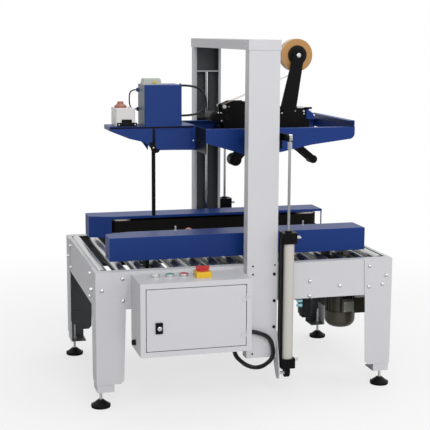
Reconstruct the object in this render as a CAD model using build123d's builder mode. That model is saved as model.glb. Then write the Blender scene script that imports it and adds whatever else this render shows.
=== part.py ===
from build123d import *
import math
import os

os.makedirs("parts", exist_ok=True)

# Carton sealer: a roller table with two side belt drives, and a taping head
# that rides up and down between two columns. Millimetres, +Z up, origin on
# the floor under the middle of the table, cartons travel along +X. The pieces
# are written with the middle of the whole footprint as their origin.

# Table
table_length = 1320
table_width = 896
rail_top = 588
rail_height = 160
rail_sheet = 3
rail_flange = 40
rail_lower_flange = 25
end_flange = 15
leg_sheet = 4
leg_bottom = 109
leg_face_top = 132
leg_face_bottom = 117
leg_side_top = 112
leg_side_bottom = 97
leg_corner_cut = 14
bend_radius = 3

# Levelling feet
foot_inset_x = 25
foot_inset_y = 50
bracket_bottom = 75
bracket_height = 130
bracket_width = 72
bracket_depth = 92
bracket_sheet = 4
stem_radius = 6
stem_length = 138
nut_radius = 11
nut_height = 10
pad_radius = 40
pad_rim = 10
pad_neck_radius = 13
pad_height = 32
pad_floor = 12
bolt_play = 0.3

# Rollers of the bed
roller_radius = 25
roller_proud = 3
roller_count = 16
roller_end_gap = 45
axle_radius = 6
well_half_width = 56
well_plate = 4
well_play = 9
well_depth = 66
well_drop = 2
well_roller_count = 5

# Columns and crossbar
column_left = -21
column_width = 134
column_depth = 55
column_standout = 38
column_bottom = 190
column_sheet = 4
column_lip = 12
column_notch_play = 4
machine_height = 1536
crossbar_height = 42
guide_radius = 10
guide_bottom = 640
guide_top = 1380
guide_plate = 6
running_gap = 0.08

# Lift cylinders beside the columns
cylinder_gap = 42
cylinder_standout = 14
tube_radius = 26
tube_bore_radius = 22
switch_rail_width = 36
switch_rail_depth = 10
tube_bottom = 186
tube_top = 688
cap_side = 64
cap_corner = 9
top_cap_height = 47
bottom_cap_height = 41
gland_radius = 15
gland_height = 6
rod_radius = 6
piston_bottom = 560
piston_height = 30
rod_end_drop = 19
rod_end_radius = 16
rod_end_width = 14
eye_width = 20
eye_radius = 20
pin_radius = 7
pin_z = 121
foot_plate = 5
foot_plate_top = 300
valve_gap = 152
valve_width = 38
valve_depth = 44
valve_height = 86

# Taping head
head_half_width = 255
head_left = -142
head_right = 545
head_top = 1152
head_sheet = 4
head_flange = 30
head_nose = 26
head_nose_drop = 28
end_plate_rise = 28
end_plate_depth = 66
infeed_plate_depth = 108
arm_left = -530
arm_half_width = 70
arm_sheet = 3
arm_drop = 107
arm_tip_drop = 16
gusset_drop = 118
notch_drop = 76
carriage_drop = 107
carriage_height = 100
carriage_play = 5
beam_width = 60
beam_offset = 20
beam_drop = 72
beam_height = 40
lug_thickness = 8
lug_gap = 6
cheek_radius = 14
cross_bar_side = 30
cross_bar_drop = 52
cross_bar_x = (45, 345)
lever_gap_number = -4
lever_y = -50
lever_width = 16
lever_thickness = 8
lever_bottom = 750
lever_pivot_drop = 52

# Tape unit in the head
unit_half_width = 40
unit_plate = 4
slot_depth = 90
spacer_radius = 9
arm_half_gap = 31
press_pivot = (150, -62)
press_roller_at = (59, -162)
press_roller_radius = 28
press_arm_radius = 17
wipe_pivot = (330, -82)
wipe_roller_at = (436, -168)
wipe_roller_radius = 19
wipe_arm_radius = 15
guide_ring_radius = 13
guide_ring_width = 12
guide_pin_radius = 5
roll_x = 348
roll_rise = 312
roll_radius = 74
core_radius = 38
roll_width = 48
hub_flange_radius = 44
hub_flange = 6
spindle_radius = 8
roll_arm_thickness = 8
roll_arm_foot_radius = 37
roll_arm_top_radius = 26
roll_arm_foot_x = 304
roll_arm_foot_rise = 80

# Boxes on the infeed arm
junction_left = -373
junction_right = -204
junction_depth = 152
junction_height = 180
hood_width = 84
hood_depth = 70
hood_height = 26
hood_slope = 12
stop_box_left = -499
stop_box_width = 86
stop_box_depth = 124
stop_box_height = 79
stop_button_radius = 27
stop_button_height = 27
stop_button_top_radius = 14
stop_button_offset = 12

# Lower tape unit in the well
lower_plate_y = 36
lower_plate_bottom = 450
lower_roller_z = 652
lower_roller_radius = 22
lower_roller_reach = 190
lower_tip_reach = 12
lower_foot_play = 5
lower_foot_drop = 48
lower_bridge_rise = 16
lower_tie_z = 555

# Side drives
drive_infeed_setback = 79
drive_outfeed_setback = 90
drive_inner_y = 200
drive_width = 140
drive_bottom = 610
drive_height = 100
drive_sheet = 3
lead_in_length = 103
lead_in_depth = 35
belt_thickness = 5
belt_height = 56
belt_proud = 3
pulley_radius = 50
pulley_height = 70
idler_inset = 151
motor_gap_number = 6
window_margin = 12
slide_gap_number = 5
slide_z = 500
slide_radius = 12.5
slide_leg_width = 16
slide_leg_depth = 70
slide_block_width = 40
slide_block_depth = 96
slide_block_height = 56
neck_width = 20
neck_depth = 100
gearbox_side = 120
gearbox_bottom = 430
gearbox_height = 50
motor_radius = 60
motor_rib_height = 7
motor_rib_count = 20
motor_bottom = 318
fan_cover_radius = 69
fan_cover_bottom = 243
fan_cover_dome = 38
terminal_box_width = 46
terminal_box_depth = 56
terminal_box_height = 62
capacitor_box_reach = 124
capacitor_box_width = 60
capacitor_box_bottom = 303
capacitor_box_height = 72

# Control box
box_setback = 150
box_column_gap = 24
box_bottom = 272
box_top = 576
box_depth = 194
box_sheet = 2.5
box_frame = 22
door_gap = 3
door_sheet = 3
door_lip = 15
knuckle_radius = 3
knuckle_height = 16
hinge_pin_radius = 1.5
lock_plate = 5
lock_plate_width = 30
lock_plate_height = 46
lock_barrel = 6
lock_barrel_radius = 9
lock_inset = 76
lock_rise = 120
button_inset_y = 81
button_inset_x = (84, 146, 205)
button_radius = 14
button_height = 12
button_cap_radius = 10.5
switch_gap = 26
switch_inset_y = 109
switch_side = 64
switch_height = 24
switch_knob_radius = 24
switch_knob_base = 6
switch_handle_length = 56
switch_handle_width = 14
switch_handle_height = 14
switch_handle_corner = 5

# Cables and their glands
gland_length = 12
gland_width = 30
supply_diameter = 20
signal_diameter = 10
stop_lead_diameter = 6
small_gland_length = 8
small_gland_radius = 9
signal_y = 20
stop_lead_y = -70


def gap_between_rollers(number):
    """Middle of a gap between bed rollers, counted from the middle of the table."""
    return (number + (roller_count % 2) / 2) * roller_pitch


# Places worked out from the sizes above
half_length = table_length / 2
half_width = table_width / 2
rail_y = half_width - leg_sheet
rail_end = half_length - leg_sheet
rail_bottom = rail_top - rail_height
axle_z = rail_top + roller_proud - roller_radius
roller_pitch = table_length / roller_count
roller_x = [(i - (roller_count - 1) / 2) * roller_pitch for i in range(roller_count)]
roller_half = rail_y - rail_sheet - roller_end_gap
foot_x = half_length - foot_inset_x
foot_y = half_width - foot_inset_y
column_outer_y = half_width + column_standout
column_right = column_left + column_width
column_mid = column_left + column_width / 2
column_inner_y = column_outer_y - column_depth
column_top = machine_height - column_sheet
guide_y = column_outer_y - column_depth / 2
cylinder_x = column_right + cylinder_gap
cylinder_y = column_outer_y + cylinder_standout
drive_left = -half_length + drive_infeed_setback
drive_right = half_length - drive_outfeed_setback
lead_in_x = drive_left + lead_in_length
idler_x = drive_left + idler_inset
motor_x = gap_between_rollers(motor_gap_number)
slide_x = gap_between_rollers(slide_gap_number)
lever_x = gap_between_rollers(lever_gap_number)
drive_outer_y = drive_inner_y + drive_width
belt_line_y = drive_inner_y - belt_proud + belt_thickness + pulley_radius
belt_bottom = drive_bottom + (drive_height - belt_height) / 2
arm_top = head_top + arm_sheet
rod_end_z = head_top - rod_end_drop
carriage_bottom = head_top - carriage_drop
beam_bottom = head_top - beam_drop
cross_bar_bottom = head_top - cross_bar_drop
lever_pivot_z = head_top - lever_pivot_drop
roll_z = head_top + roll_rise
roll_arm_foot = (roll_arm_foot_x, head_top + roll_arm_foot_rise)
box_left = -half_length + box_setback
box_right = column_left - box_column_gap
box_front_y = rail_y + box_depth
button_y = rail_y + button_inset_y
push_button_x = [box_left + inset for inset in button_inset_x]
switch_x = push_button_x[-1] + button_radius + switch_gap + switch_side / 2
switch_y = rail_y + switch_inset_y
lock_at = (box_left + lock_inset, box_bottom + lock_rise)
front_reach = box_front_y + lock_plate + lock_barrel
back_reach = cylinder_y + cap_side / 2
table_axis_y = (front_reach - back_reach) / 2
unit_inner = unit_half_width - unit_plate

# Cable routes, from gland to gland, as steps from a corner of the box that they leave
supply_steps = [
    (gland_length, 57, 40), (48, 57, 40), (99, 59, 26), (132, 59, -9), (142, 59, -54),
    (128, 57, -97), (91, 46, -124), (45, 31, -124), (4, 20, -101), (-25, 18, -60),
    (-25, 18, -gland_length),
]
signal_steps = [
    (small_gland_length, 178), (54, 178), (104, 159), (127, 114), (116, 68), (70, 44),
    (small_gland_length, 44),
]
stop_lead_steps = [
    (small_gland_length, 156), (27, 156), (40, 142), (42, 114), (40, 86), (27, 70),
    (small_gland_length, 70),
]
supply_route = [(box_right + x, -rail_y - y, box_bottom + z) for x, y, z in supply_steps]
signal_route = [(junction_right + x, -signal_y, head_top + z) for x, z in signal_steps]
stop_lead_route = [(junction_left - x, -stop_lead_y, head_top + z) for x, z in stop_lead_steps]


def export_centred(piece):
    """Move a labelled piece so that the machine's footprint is centred, and write it."""
    centred = piece.moved(Location((0, table_axis_y, 0)))
    centred.label = piece.label
    export_step(centred, f"parts/{piece.label}.step")


def head_plane(y):
    """A drawing plane across the machine at -y, with its zero at the head's top."""
    return Plane(origin=(0, -y, head_top), x_dir=(1, 0, 0), z_dir=(0, -1, 0))


def mirror_front_to_back(piece):
    """Reflect a piece of the front side to the back side."""
    return piece.mirror(Plane.XZ)


# Legs: folded angle with a welded foot bracket nested in its lower end
def corner_leg():
    with BuildPart() as leg:
        with BuildSketch(Plane.XZ.offset(half_width)):
            with BuildLine():
                Polyline(
                    (half_length, rail_top),
                    (half_length - leg_face_top, rail_top),
                    (half_length - leg_face_bottom, leg_bottom + leg_corner_cut),
                    (half_length - leg_face_bottom + leg_corner_cut, leg_bottom),
                    (half_length, leg_bottom),
                    close=True,
                )
            make_face()
        extrude(amount=-leg_sheet)
        with BuildSketch(Plane.YZ.offset(half_length)):
            with BuildLine():
                Polyline(
                    (-half_width, rail_top),
                    (-half_width + leg_side_top, rail_top),
                    (-half_width + leg_side_bottom, leg_bottom + leg_corner_cut),
                    (-half_width + leg_side_bottom - leg_corner_cut, leg_bottom),
                    (-half_width, leg_bottom),
                    close=True,
                )
            make_face()
        extrude(amount=-leg_sheet)
        bend = leg.edges().filter_by(Axis.Z).group_by(Axis.X)[-1].sort_by(Axis.Y)[0]
        fillet(bend, radius=bend_radius)
        corner = (rail_end, -rail_y)
        inner_corner = (rail_end - bracket_sheet, -rail_y + bracket_sheet)
        with BuildSketch(Plane.XY.offset(bracket_bottom)):
            with Locations(corner):
                Rectangle(bracket_width, bracket_depth, align=(Align.MAX, Align.MIN))
            with Locations(inner_corner):
                Rectangle(bracket_width, bracket_depth, align=(Align.MAX, Align.MIN),
                          mode=Mode.SUBTRACT)
        extrude(amount=bracket_height)
        with BuildSketch(Plane.XY.offset(bracket_bottom)):
            with Locations(corner):
                Rectangle(bracket_width, bracket_depth, align=(Align.MAX, Align.MIN))
            with Locations((foot_x, -foot_y)):
                Circle(stem_radius + bolt_play, mode=Mode.SUBTRACT)
        extrude(amount=bracket_sheet)
    return leg.part


leg_shape = corner_leg()
for depth_name, to_back in (("front", False), ("back", True)):
    for side_name, to_left in (("right", False), ("left", True)):
        placed = mirror_front_to_back(leg_shape) if to_back else leg_shape
        placed = placed.mirror(Plane.YZ) if to_left else placed
        with BuildPart() as leg:
            add(placed)
        leg.part.label = f"leg_{depth_name}_{side_name}"
        export_centred(leg.part)

# Levelling feet: threaded stem clamped by two nuts, standing in a bell pad
with BuildPart() as foot_stems:
    with BuildSketch(Plane.XY.offset(pad_floor)):
        with GridLocations(2 * foot_x, 2 * foot_y, 2, 2):
            Circle(stem_radius)
    extrude(amount=stem_length)
    for nut_z in (bracket_bottom - nut_height, bracket_bottom + bracket_sheet):
        with BuildSketch(Plane.XY.offset(nut_z)):
            with GridLocations(2 * foot_x, 2 * foot_y, 2, 2):
                RegularPolygon(nut_radius, 6)
        extrude(amount=nut_height)
foot_stems.part.label = "foot_stems"
export_centred(foot_stems.part)

with BuildPart() as foot_pad:
    with BuildSketch(Plane.XZ):
        with BuildLine():
            Polyline(
                (0, 0), (pad_radius, 0), (pad_radius, pad_rim),
                (pad_neck_radius, pad_height), (stem_radius, pad_height),
                (stem_radius, pad_floor), (0, pad_floor), close=True,
            )
        make_face()
    revolve(axis=Axis.Z)
with BuildPart() as foot_pads:
    with GridLocations(2 * foot_x, 2 * foot_y, 2, 2):
        add(foot_pad.part)
foot_pads.part.label = "foot_pads"
export_centred(foot_pads.part)


# Side rails: folded channels that the roller axles and the slide shafts are bolted to
def side_rail():
    with BuildPart() as rail:
        with BuildSketch(Plane.YZ.offset(-rail_end)):
            with BuildLine():
                Polyline(
                    (-rail_y, rail_top),
                    (-rail_y + rail_flange, rail_top),
                    (-rail_y + rail_flange, rail_top - rail_sheet),
                    (-rail_y + rail_sheet, rail_top - rail_sheet),
                    (-rail_y + rail_sheet, rail_bottom + rail_sheet),
                    (-rail_y + rail_lower_flange, rail_bottom + rail_sheet),
                    (-rail_y + rail_lower_flange, rail_bottom),
                    (-rail_y, rail_bottom),
                    close=True,
                )
            make_face()
        extrude(amount=2 * rail_end)
    return rail.part


with BuildPart() as side_rail_front:
    add(side_rail())
side_rail_front.part.label = "side_rail_front"
export_centred(side_rail_front.part)

with BuildPart() as side_rail_back:
    add(mirror_front_to_back(side_rail()))
side_rail_back.part.label = "side_rail_back"
export_centred(side_rail_back.part)

# End rails: folded plates that fit between the flanges of the side rails
with BuildPart() as end_rail_outfeed:
    with BuildSketch(Plane.YZ.offset(rail_end)):
        with Locations((0, rail_bottom + rail_height / 2)):
            Rectangle(2 * (rail_y - rail_sheet), rail_height - 2 * rail_sheet)
    extrude(amount=-rail_sheet)
    with BuildSketch(Plane.XY.offset(rail_top)):
        with Locations((rail_end, 0)):
            Rectangle(end_flange, 2 * (rail_y - rail_flange), align=(Align.MAX, Align.CENTER))
    extrude(amount=-rail_sheet)
    with BuildSketch(Plane.XY.offset(rail_bottom)):
        with Locations((rail_end, 0)):
            Rectangle(rail_lower_flange, 2 * (rail_y - rail_lower_flange),
                      align=(Align.MAX, Align.CENTER))
    extrude(amount=rail_sheet)
end_rail_outfeed.part.label = "end_rail_outfeed"
export_centred(end_rail_outfeed.part)

with BuildPart() as end_rail_infeed:
    mirror(end_rail_outfeed.part, about=Plane.YZ)
end_rail_infeed.part.label = "end_rail_infeed"
export_centred(end_rail_infeed.part)

# Rollers on hexagonal axles: full width ones, and short pairs beside the tape well
well_first = (roller_count - well_roller_count + 1) // 2
split_x = roller_x[well_first:well_first + well_roller_count]
whole_x = roller_x[:well_first] + roller_x[well_first + well_roller_count:]
short_length = roller_half - well_half_width - bolt_play
with BuildPart() as rollers:
    with BuildSketch(Plane.XZ):
        with Locations([(x, axle_z) for x in whole_x]):
            Circle(roller_radius)
    extrude(amount=roller_half, both=True)
    with BuildSketch(Plane.XZ):
        with Locations([(x, axle_z) for x in whole_x]):
            RegularPolygon(axle_radius, 6)
    extrude(amount=rail_y - rail_sheet, both=True)
    for side in (-1, 1):
        with BuildSketch(Plane.XZ.offset(side * (well_half_width + bolt_play))):
            with Locations([(x, axle_z) for x in split_x]):
                Circle(roller_radius)
        extrude(amount=side * short_length)
        with BuildSketch(Plane.XZ.offset(side * (well_half_width - well_plate))):
            with Locations([(x, axle_z) for x in split_x]):
                RegularPolygon(axle_radius, 6)
        extrude(amount=side * (rail_y - rail_sheet - well_half_width + well_plate))
rollers.part.label = "conveyor_rollers"
export_centred(rollers.part)

# Well in the middle of the bed, on two crossbars, that holds the lower tape unit
well_mid_x = (split_x[0] + split_x[-1]) / 2
well_half_length = (split_x[-1] - split_x[0]) / 2 + roller_pitch - roller_radius - well_play
well_left = well_mid_x - well_half_length
well_right = well_mid_x + well_half_length
well_top = rail_top - well_drop
with BuildPart() as tape_well:
    with BuildSketch(Plane.XY.offset(well_top)):
        with Locations((well_mid_x, 0)):
            Rectangle(well_right - well_left, 2 * well_half_width)
            Rectangle(well_right - well_left - 2 * well_plate,
                      2 * (well_half_width - well_plate), mode=Mode.SUBTRACT)
    extrude(amount=-well_depth)
    with BuildSketch(Plane.XZ.offset(well_half_width)):
        with Locations([(x, axle_z) for x in split_x]):
            Circle(axle_radius + bolt_play)
    extrude(amount=-2 * well_half_width, mode=Mode.SUBTRACT)
    with BuildSketch(Plane.XY.offset(well_top - well_depth)):
        with Locations((well_left + cross_bar_side / 2, 0), (well_right - cross_bar_side / 2, 0)):
            Rectangle(cross_bar_side, 2 * (rail_y - rail_sheet))
    extrude(amount=-cross_bar_side)
tape_well.part.label = "tape_well"
export_centred(tape_well.part)


# Columns: lipped channels, notched round the side rail, with plates for the guide
def lift_column():
    with BuildPart() as column:
        with BuildSketch(Plane.XY.offset(column_bottom)):
            with Locations((column_left, -column_outer_y)):
                Rectangle(column_width, column_depth, align=(Align.MIN, Align.MIN))
            with Locations((column_left + column_sheet, -column_outer_y + column_sheet)):
                Rectangle(column_width - 2 * column_sheet, column_depth - 2 * column_sheet,
                          align=(Align.MIN, Align.MIN), mode=Mode.SUBTRACT)
            with Locations((column_mid, -column_inner_y)):
                Rectangle(column_width - 2 * column_lip, 3 * column_sheet, mode=Mode.SUBTRACT)
        extrude(amount=column_top - column_bottom)
        notch_depth = rail_y - column_inner_y
        notch_height = rail_height + 2 * column_notch_play
        with BuildSketch(Plane.XY.offset(rail_bottom - column_notch_play)):
            with Locations((column_mid, -rail_y)):
                Rectangle(column_width + 2, notch_depth, align=(Align.CENTER, Align.MIN))
        extrude(amount=notch_height, mode=Mode.SUBTRACT)
        for plate_z in (guide_bottom, guide_top - guide_plate):
            with BuildSketch(Plane.XY.offset(plate_z)):
                with Locations((column_left + column_sheet, -column_outer_y + column_sheet)):
                    Rectangle(column_width - 2 * column_sheet, column_depth - 2 * column_sheet,
                              align=(Align.MIN, Align.MIN))
                with Locations((column_mid, -guide_y)):
                    Circle(guide_radius + bolt_play, mode=Mode.SUBTRACT)
            extrude(amount=guide_plate)
    return column.part


with BuildPart() as column_front:
    add(lift_column())
column_front.part.label = "column_front"
export_centred(column_front.part)

with BuildPart() as column_back:
    add(mirror_front_to_back(lift_column()))
column_back.part.label = "column_back"
export_centred(column_back.part)

# Guide rods that the head's carriages run on
with BuildPart() as guide_rods:
    with BuildSketch(Plane.XY.offset(guide_bottom)):
        with Locations((column_mid, -guide_y), (column_mid, guide_y)):
            Circle(guide_radius)
    extrude(amount=guide_top - guide_bottom)
guide_rods.part.label = "guide_rods"
export_centred(guide_rods.part)

# Crossbar: a folded cap that covers the tops of both columns
with BuildPart() as top_crossbar:
    with BuildSketch(Plane.XY.offset(machine_height - crossbar_height)):
        with Locations((column_mid, 0)):
            Rectangle(column_width + 2 * column_sheet, 2 * (column_outer_y + column_sheet))
    extrude(amount=crossbar_height)
    fillet(top_crossbar.edges().filter_by(Axis.Z), radius=bend_radius)
    fillet(top_crossbar.edges().group_by(Axis.Z)[-1], radius=bend_radius / 2)
    with BuildSketch(Plane.XY.offset(machine_height - crossbar_height)):
        with Locations((column_mid, 0)):
            Rectangle(column_width, 2 * column_outer_y)
    extrude(amount=crossbar_height - column_sheet, mode=Mode.SUBTRACT)
top_crossbar.part.label = "top_crossbar"
export_centred(top_crossbar.part)


# Lift cylinders: tube between two caps, hung on a pin in a plate of the column
def both_sides(front_piece):
    with BuildPart() as pair:
        add(front_piece)
        add(mirror_front_to_back(front_piece))
    return pair.part


with BuildPart() as cylinder_tube:
    with BuildSketch(Plane.XY.offset(tube_bottom)):
        with Locations((cylinder_x, -cylinder_y)):
            Circle(tube_radius)
            Circle(tube_bore_radius, mode=Mode.SUBTRACT)
    extrude(amount=tube_top - tube_bottom)
with BuildPart() as cylinder_tubes:
    add(both_sides(cylinder_tube.part))
cylinder_tubes.part.label = "cylinder_tubes"
export_centred(cylinder_tubes.part)

with BuildPart() as cylinder_cap_set:
    with BuildSketch(Plane.XY.offset(tube_top)):
        with Locations((cylinder_x, -cylinder_y)):
            RectangleRounded(cap_side, cap_side, cap_corner)
            Circle(rod_radius + running_gap, mode=Mode.SUBTRACT)
    extrude(amount=top_cap_height)
    with BuildSketch(Plane.XY.offset(tube_top + top_cap_height)):
        with Locations((cylinder_x, -cylinder_y)):
            Circle(gland_radius)
            Circle(rod_radius + running_gap, mode=Mode.SUBTRACT)
    extrude(amount=gland_height)
    with BuildSketch(Plane.XY.offset(tube_bottom)):
        with Locations((cylinder_x, -cylinder_y)):
            RectangleRounded(cap_side, cap_side, cap_corner)
    extrude(amount=-bottom_cap_height)
    with BuildSketch(Plane.XY.offset(tube_bottom - bottom_cap_height / 2)):
        with Locations((cylinder_x - tube_radius, -cylinder_y)):
            Rectangle(switch_rail_depth, switch_rail_width, align=(Align.MAX, Align.CENTER))
    extrude(amount=tube_top - tube_bottom + (top_cap_height + bottom_cap_height) / 2)
    with BuildSketch(Plane.YZ.offset(cylinder_x - eye_width / 2)):
        with Locations((-cylinder_y, pin_z)):
            Circle(eye_radius)
            Rectangle(2 * eye_radius, tube_bottom - bottom_cap_height - pin_z,
                      align=(Align.CENTER, Align.MIN))
            Circle(pin_radius + running_gap, mode=Mode.SUBTRACT)
    extrude(amount=eye_width)
with BuildPart() as cylinder_caps:
    add(both_sides(cylinder_cap_set.part))
cylinder_caps.part.label = "cylinder_caps"
export_centred(cylinder_caps.part)

flange_mid_y = column_outer_y - column_depth / 2
with BuildPart() as cylinder_foot:
    with BuildSketch(Plane.YZ.offset(column_right)):
        with Locations((-cylinder_y, pin_z)):
            Circle(eye_radius + foot_plate)
        with Locations((-flange_mid_y, (foot_plate_top + column_bottom) / 2)):
            Rectangle(column_depth - 2 * column_sheet, foot_plate_top - column_bottom)
        make_hull()
    extrude(amount=foot_plate)
    with BuildSketch(Plane.YZ.offset(column_right)):
        with Locations((-cylinder_y, pin_z)):
            Circle(pin_radius)
    extrude(amount=cylinder_x + eye_width / 2 + foot_plate - column_right)
    with BuildSketch(Plane.YZ.offset(cylinder_x + eye_width / 2 + bolt_play)):
        with Locations((-cylinder_y, pin_z)):
            Circle(pin_radius + foot_plate)
    extrude(amount=foot_plate)
with BuildPart() as cylinder_brackets:
    add(both_sides(cylinder_foot.part))
cylinder_brackets.part.label = "cylinder_brackets"
export_centred(cylinder_brackets.part)

# Piston rods: piston, rod, hexagon and eye, carried by the head's lugs
with BuildPart() as piston_rod:
    with BuildSketch(Plane.XY.offset(piston_bottom)):
        with Locations((cylinder_x, -cylinder_y)):
            Circle(tube_bore_radius - running_gap)
    extrude(amount=piston_height)
    with BuildSketch(Plane.XY.offset(piston_bottom)):
        with Locations((cylinder_x, -cylinder_y)):
            Circle(rod_radius)
    extrude(amount=rod_end_z - rod_end_radius / 2 - piston_bottom)
    with BuildSketch(Plane.XY.offset(rod_end_z - 3 * rod_end_radius)):
        with Locations((cylinder_x, -cylinder_y)):
            RegularPolygon(rod_radius + 4, 6)
    extrude(amount=2 * rod_end_radius)
    with BuildSketch(Plane.YZ.offset(cylinder_x - rod_end_width / 2)):
        with Locations((-cylinder_y, rod_end_z)):
            Circle(rod_end_radius)
    extrude(amount=rod_end_width)
    with BuildSketch(Plane.YZ.offset(cylinder_x - rod_end_width)):
        with Locations((-cylinder_y, rod_end_z)):
            Circle(rod_radius + running_gap)
    extrude(amount=2 * rod_end_width, mode=Mode.SUBTRACT)
with BuildPart() as piston_rods:
    add(both_sides(piston_rod.part))
piston_rods.part.label = "piston_rods"
export_centred(piston_rods.part)

# Carriages: a block on the guide rod, a beam to the head, and a lug for the rod
carriage_half = column_width / 2 - column_sheet - carriage_play
carriage_outer_y = column_outer_y - column_sheet - carriage_play
carriage_inner_y = column_inner_y + column_sheet + carriage_play
lug_y = column_inner_y - lug_gap
beam_mid = column_mid + beam_offset
lug_left = beam_mid + beam_width / 2
cheek_right = cylinder_x - rod_end_width / 2 - bolt_play
with BuildPart() as carriage:
    with BuildSketch(Plane.XY.offset(carriage_bottom)):
        with Locations((column_mid, -(carriage_outer_y + carriage_inner_y) / 2)):
            Rectangle(2 * carriage_half, carriage_outer_y - carriage_inner_y)
    extrude(amount=carriage_height)
    with BuildSketch(Plane.XY.offset(beam_bottom)):
        with Locations((beam_mid, -head_half_width)):
            Rectangle(beam_width, carriage_inner_y - head_half_width,
                      align=(Align.CENTER, Align.MAX))
    extrude(amount=beam_height)
    with BuildSketch(Plane.XY.offset(carriage_bottom)):
        with Locations((column_mid, -guide_y)):
            Circle(guide_radius + running_gap)
    extrude(amount=carriage_height, mode=Mode.SUBTRACT)
    with BuildSketch(Plane.XY.offset(beam_bottom)):
        with Locations((lug_left, -lug_y)):
            Rectangle(cheek_right - lug_left, lug_thickness, align=(Align.MIN, Align.MIN))
    extrude(amount=rod_end_z + cheek_radius - beam_bottom)
    with BuildSketch(Plane.YZ.offset(cheek_right)):
        with Locations((-cylinder_y, rod_end_z)):
            Circle(cheek_radius)
        with Locations((-lug_y + lug_thickness / 2, rod_end_z)):
            Rectangle(lug_thickness, 2 * cheek_radius)
        make_hull()
    extrude(amount=-lug_thickness)
    with BuildSketch(Plane.YZ.offset(cheek_right)):
        with Locations((-cylinder_y, rod_end_z)):
            Circle(rod_radius)
    extrude(amount=rod_end_width + 3 * bolt_play + foot_plate)
    with BuildSketch(Plane.YZ.offset(cylinder_x + rod_end_width / 2 + bolt_play)):
        with Locations((-cylinder_y, rod_end_z)):
            RegularPolygon(nut_radius, 6)
    extrude(amount=foot_plate)
with BuildPart() as head_carriages:
    add(both_sides(carriage.part))
head_carriages.part.label = "head_carriages"
export_centred(head_carriages.part)

# Head side plates: deep in the middle, shallow at both ends, with a top flange
with BuildPart() as head_side_front:
    with BuildSketch(head_plane(head_half_width)):
        with BuildLine():
            Polyline(
                (head_right - head_nose, -head_nose_drop - head_nose), (340, -76), (200, -105),
                (31, -112), (head_left, -60), (head_left, 0), (head_right, 0),
                (head_right, -head_nose_drop),
            )
            TangentArc((head_right, -head_nose_drop),
                       (head_right - head_nose, -head_nose_drop - head_nose), tangent=(0, -1))
        make_face()
    extrude(amount=-head_sheet)
    with BuildSketch(Plane.XY.offset(head_top)):
        with Locations((head_left + head_sheet, -head_half_width)):
            Rectangle(head_right - head_left - 2 * head_sheet, head_flange,
                      align=(Align.MIN, Align.MIN))
    extrude(amount=-head_sheet)
    outer_top = head_side_front.edges().filter_by(Axis.X).group_by(Axis.Z)[-1].sort_by(Axis.Y)[0]
    fillet(outer_top, radius=bend_radius)
with BuildPart() as head_side_plates:
    add(both_sides(head_side_front.part))
head_side_plates.part.label = "head_side_plates"
export_centred(head_side_plates.part)

# Head end plates: a deep one at the infeed, a raised one with a lip at the outfeed
end_half = head_half_width - head_sheet
with BuildPart() as head_end_plates:
    with BuildSketch(Plane.YZ.offset(head_left)):
        with Locations((0, head_top)):
            Rectangle(2 * end_half, infeed_plate_depth, align=(Align.CENTER, Align.MAX))
    extrude(amount=head_sheet)
    with BuildSketch(Plane.YZ.offset(head_right)):
        with Locations((0, head_top + end_plate_rise)):
            Rectangle(2 * end_half, end_plate_depth, align=(Align.CENTER, Align.MAX))
    extrude(amount=-head_sheet)
    with BuildSketch(Plane.XY.offset(head_top + end_plate_rise)):
        with Locations((head_right, 0)):
            Rectangle(head_flange, 2 * end_half, align=(Align.MAX, Align.CENTER))
    extrude(amount=-head_sheet)
head_end_plates.part.label = "head_end_plates"
export_centred(head_end_plates.part)

# Two square bars across the head, which the tape unit hangs on
with BuildPart() as head_cross_bars:
    with BuildSketch(Plane.XY.offset(cross_bar_bottom)):
        with Locations([(x, 0) for x in cross_bar_x]):
            Rectangle(cross_bar_side, 2 * end_half)
    extrude(amount=cross_bar_side)
head_cross_bars.part.label = "head_cross_bars"
export_centred(head_cross_bars.part)

# Infeed arm: folded channel whose webs are cut away where the lever passes
with BuildPart() as infeed_arm:
    for web_y in (-arm_half_width, arm_half_width - arm_sheet):
        with BuildSketch(head_plane(-web_y)):
            with BuildLine():
                Polyline(
                    (arm_left, 0), (arm_left, -arm_tip_drop), (-441, -52), (-370, -69),
                    (-352, -88), (lever_x - 1, -gusset_drop), (lever_x + 3, -notch_drop),
                    (lever_x + 14, -82), (lever_x + 36, -arm_drop + 3), (head_left, -arm_drop),
                    (head_left, 0), close=True,
                )
            make_face()
        extrude(amount=-arm_sheet)
    with BuildSketch(Plane.XY.offset(arm_top)):
        with Locations((arm_left, 0)):
            Rectangle(head_left - arm_left, 2 * arm_half_width, align=(Align.MIN, Align.CENTER))
    extrude(amount=-arm_sheet)
    with BuildSketch(Plane.YZ.offset(arm_left)):
        with Locations((0, head_top)):
            Rectangle(2 * arm_half_width, arm_tip_drop, align=(Align.CENTER, Align.MAX))
    extrude(amount=arm_sheet)
infeed_arm.part.label = "infeed_arm"
export_centred(infeed_arm.part)

# Sensing lever: flat bar hanging from a pivot boss behind the arm's front web
with BuildPart() as sensing_lever:
    with BuildSketch(Plane.XZ.offset(-lever_y + lever_thickness / 2)):
        with Locations((lever_x, lever_pivot_z)):
            Circle(lever_width * 0.8)
        with Locations((lever_x, lever_bottom + lever_width / 2)):
            Circle(lever_width / 2)
            Rectangle(lever_width, lever_pivot_z - lever_bottom - lever_width / 2,
                      align=(Align.CENTER, Align.MIN))
    extrude(amount=-lever_thickness)
    with BuildSketch(Plane.XZ.offset(arm_half_width - arm_sheet)):
        with Locations((lever_x, lever_pivot_z)):
            Circle(lever_width / 2)
    extrude(amount=-(arm_half_width - arm_sheet + lever_y))
sensing_lever.part.label = "sensing_lever"
export_centred(sensing_lever.part)

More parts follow.
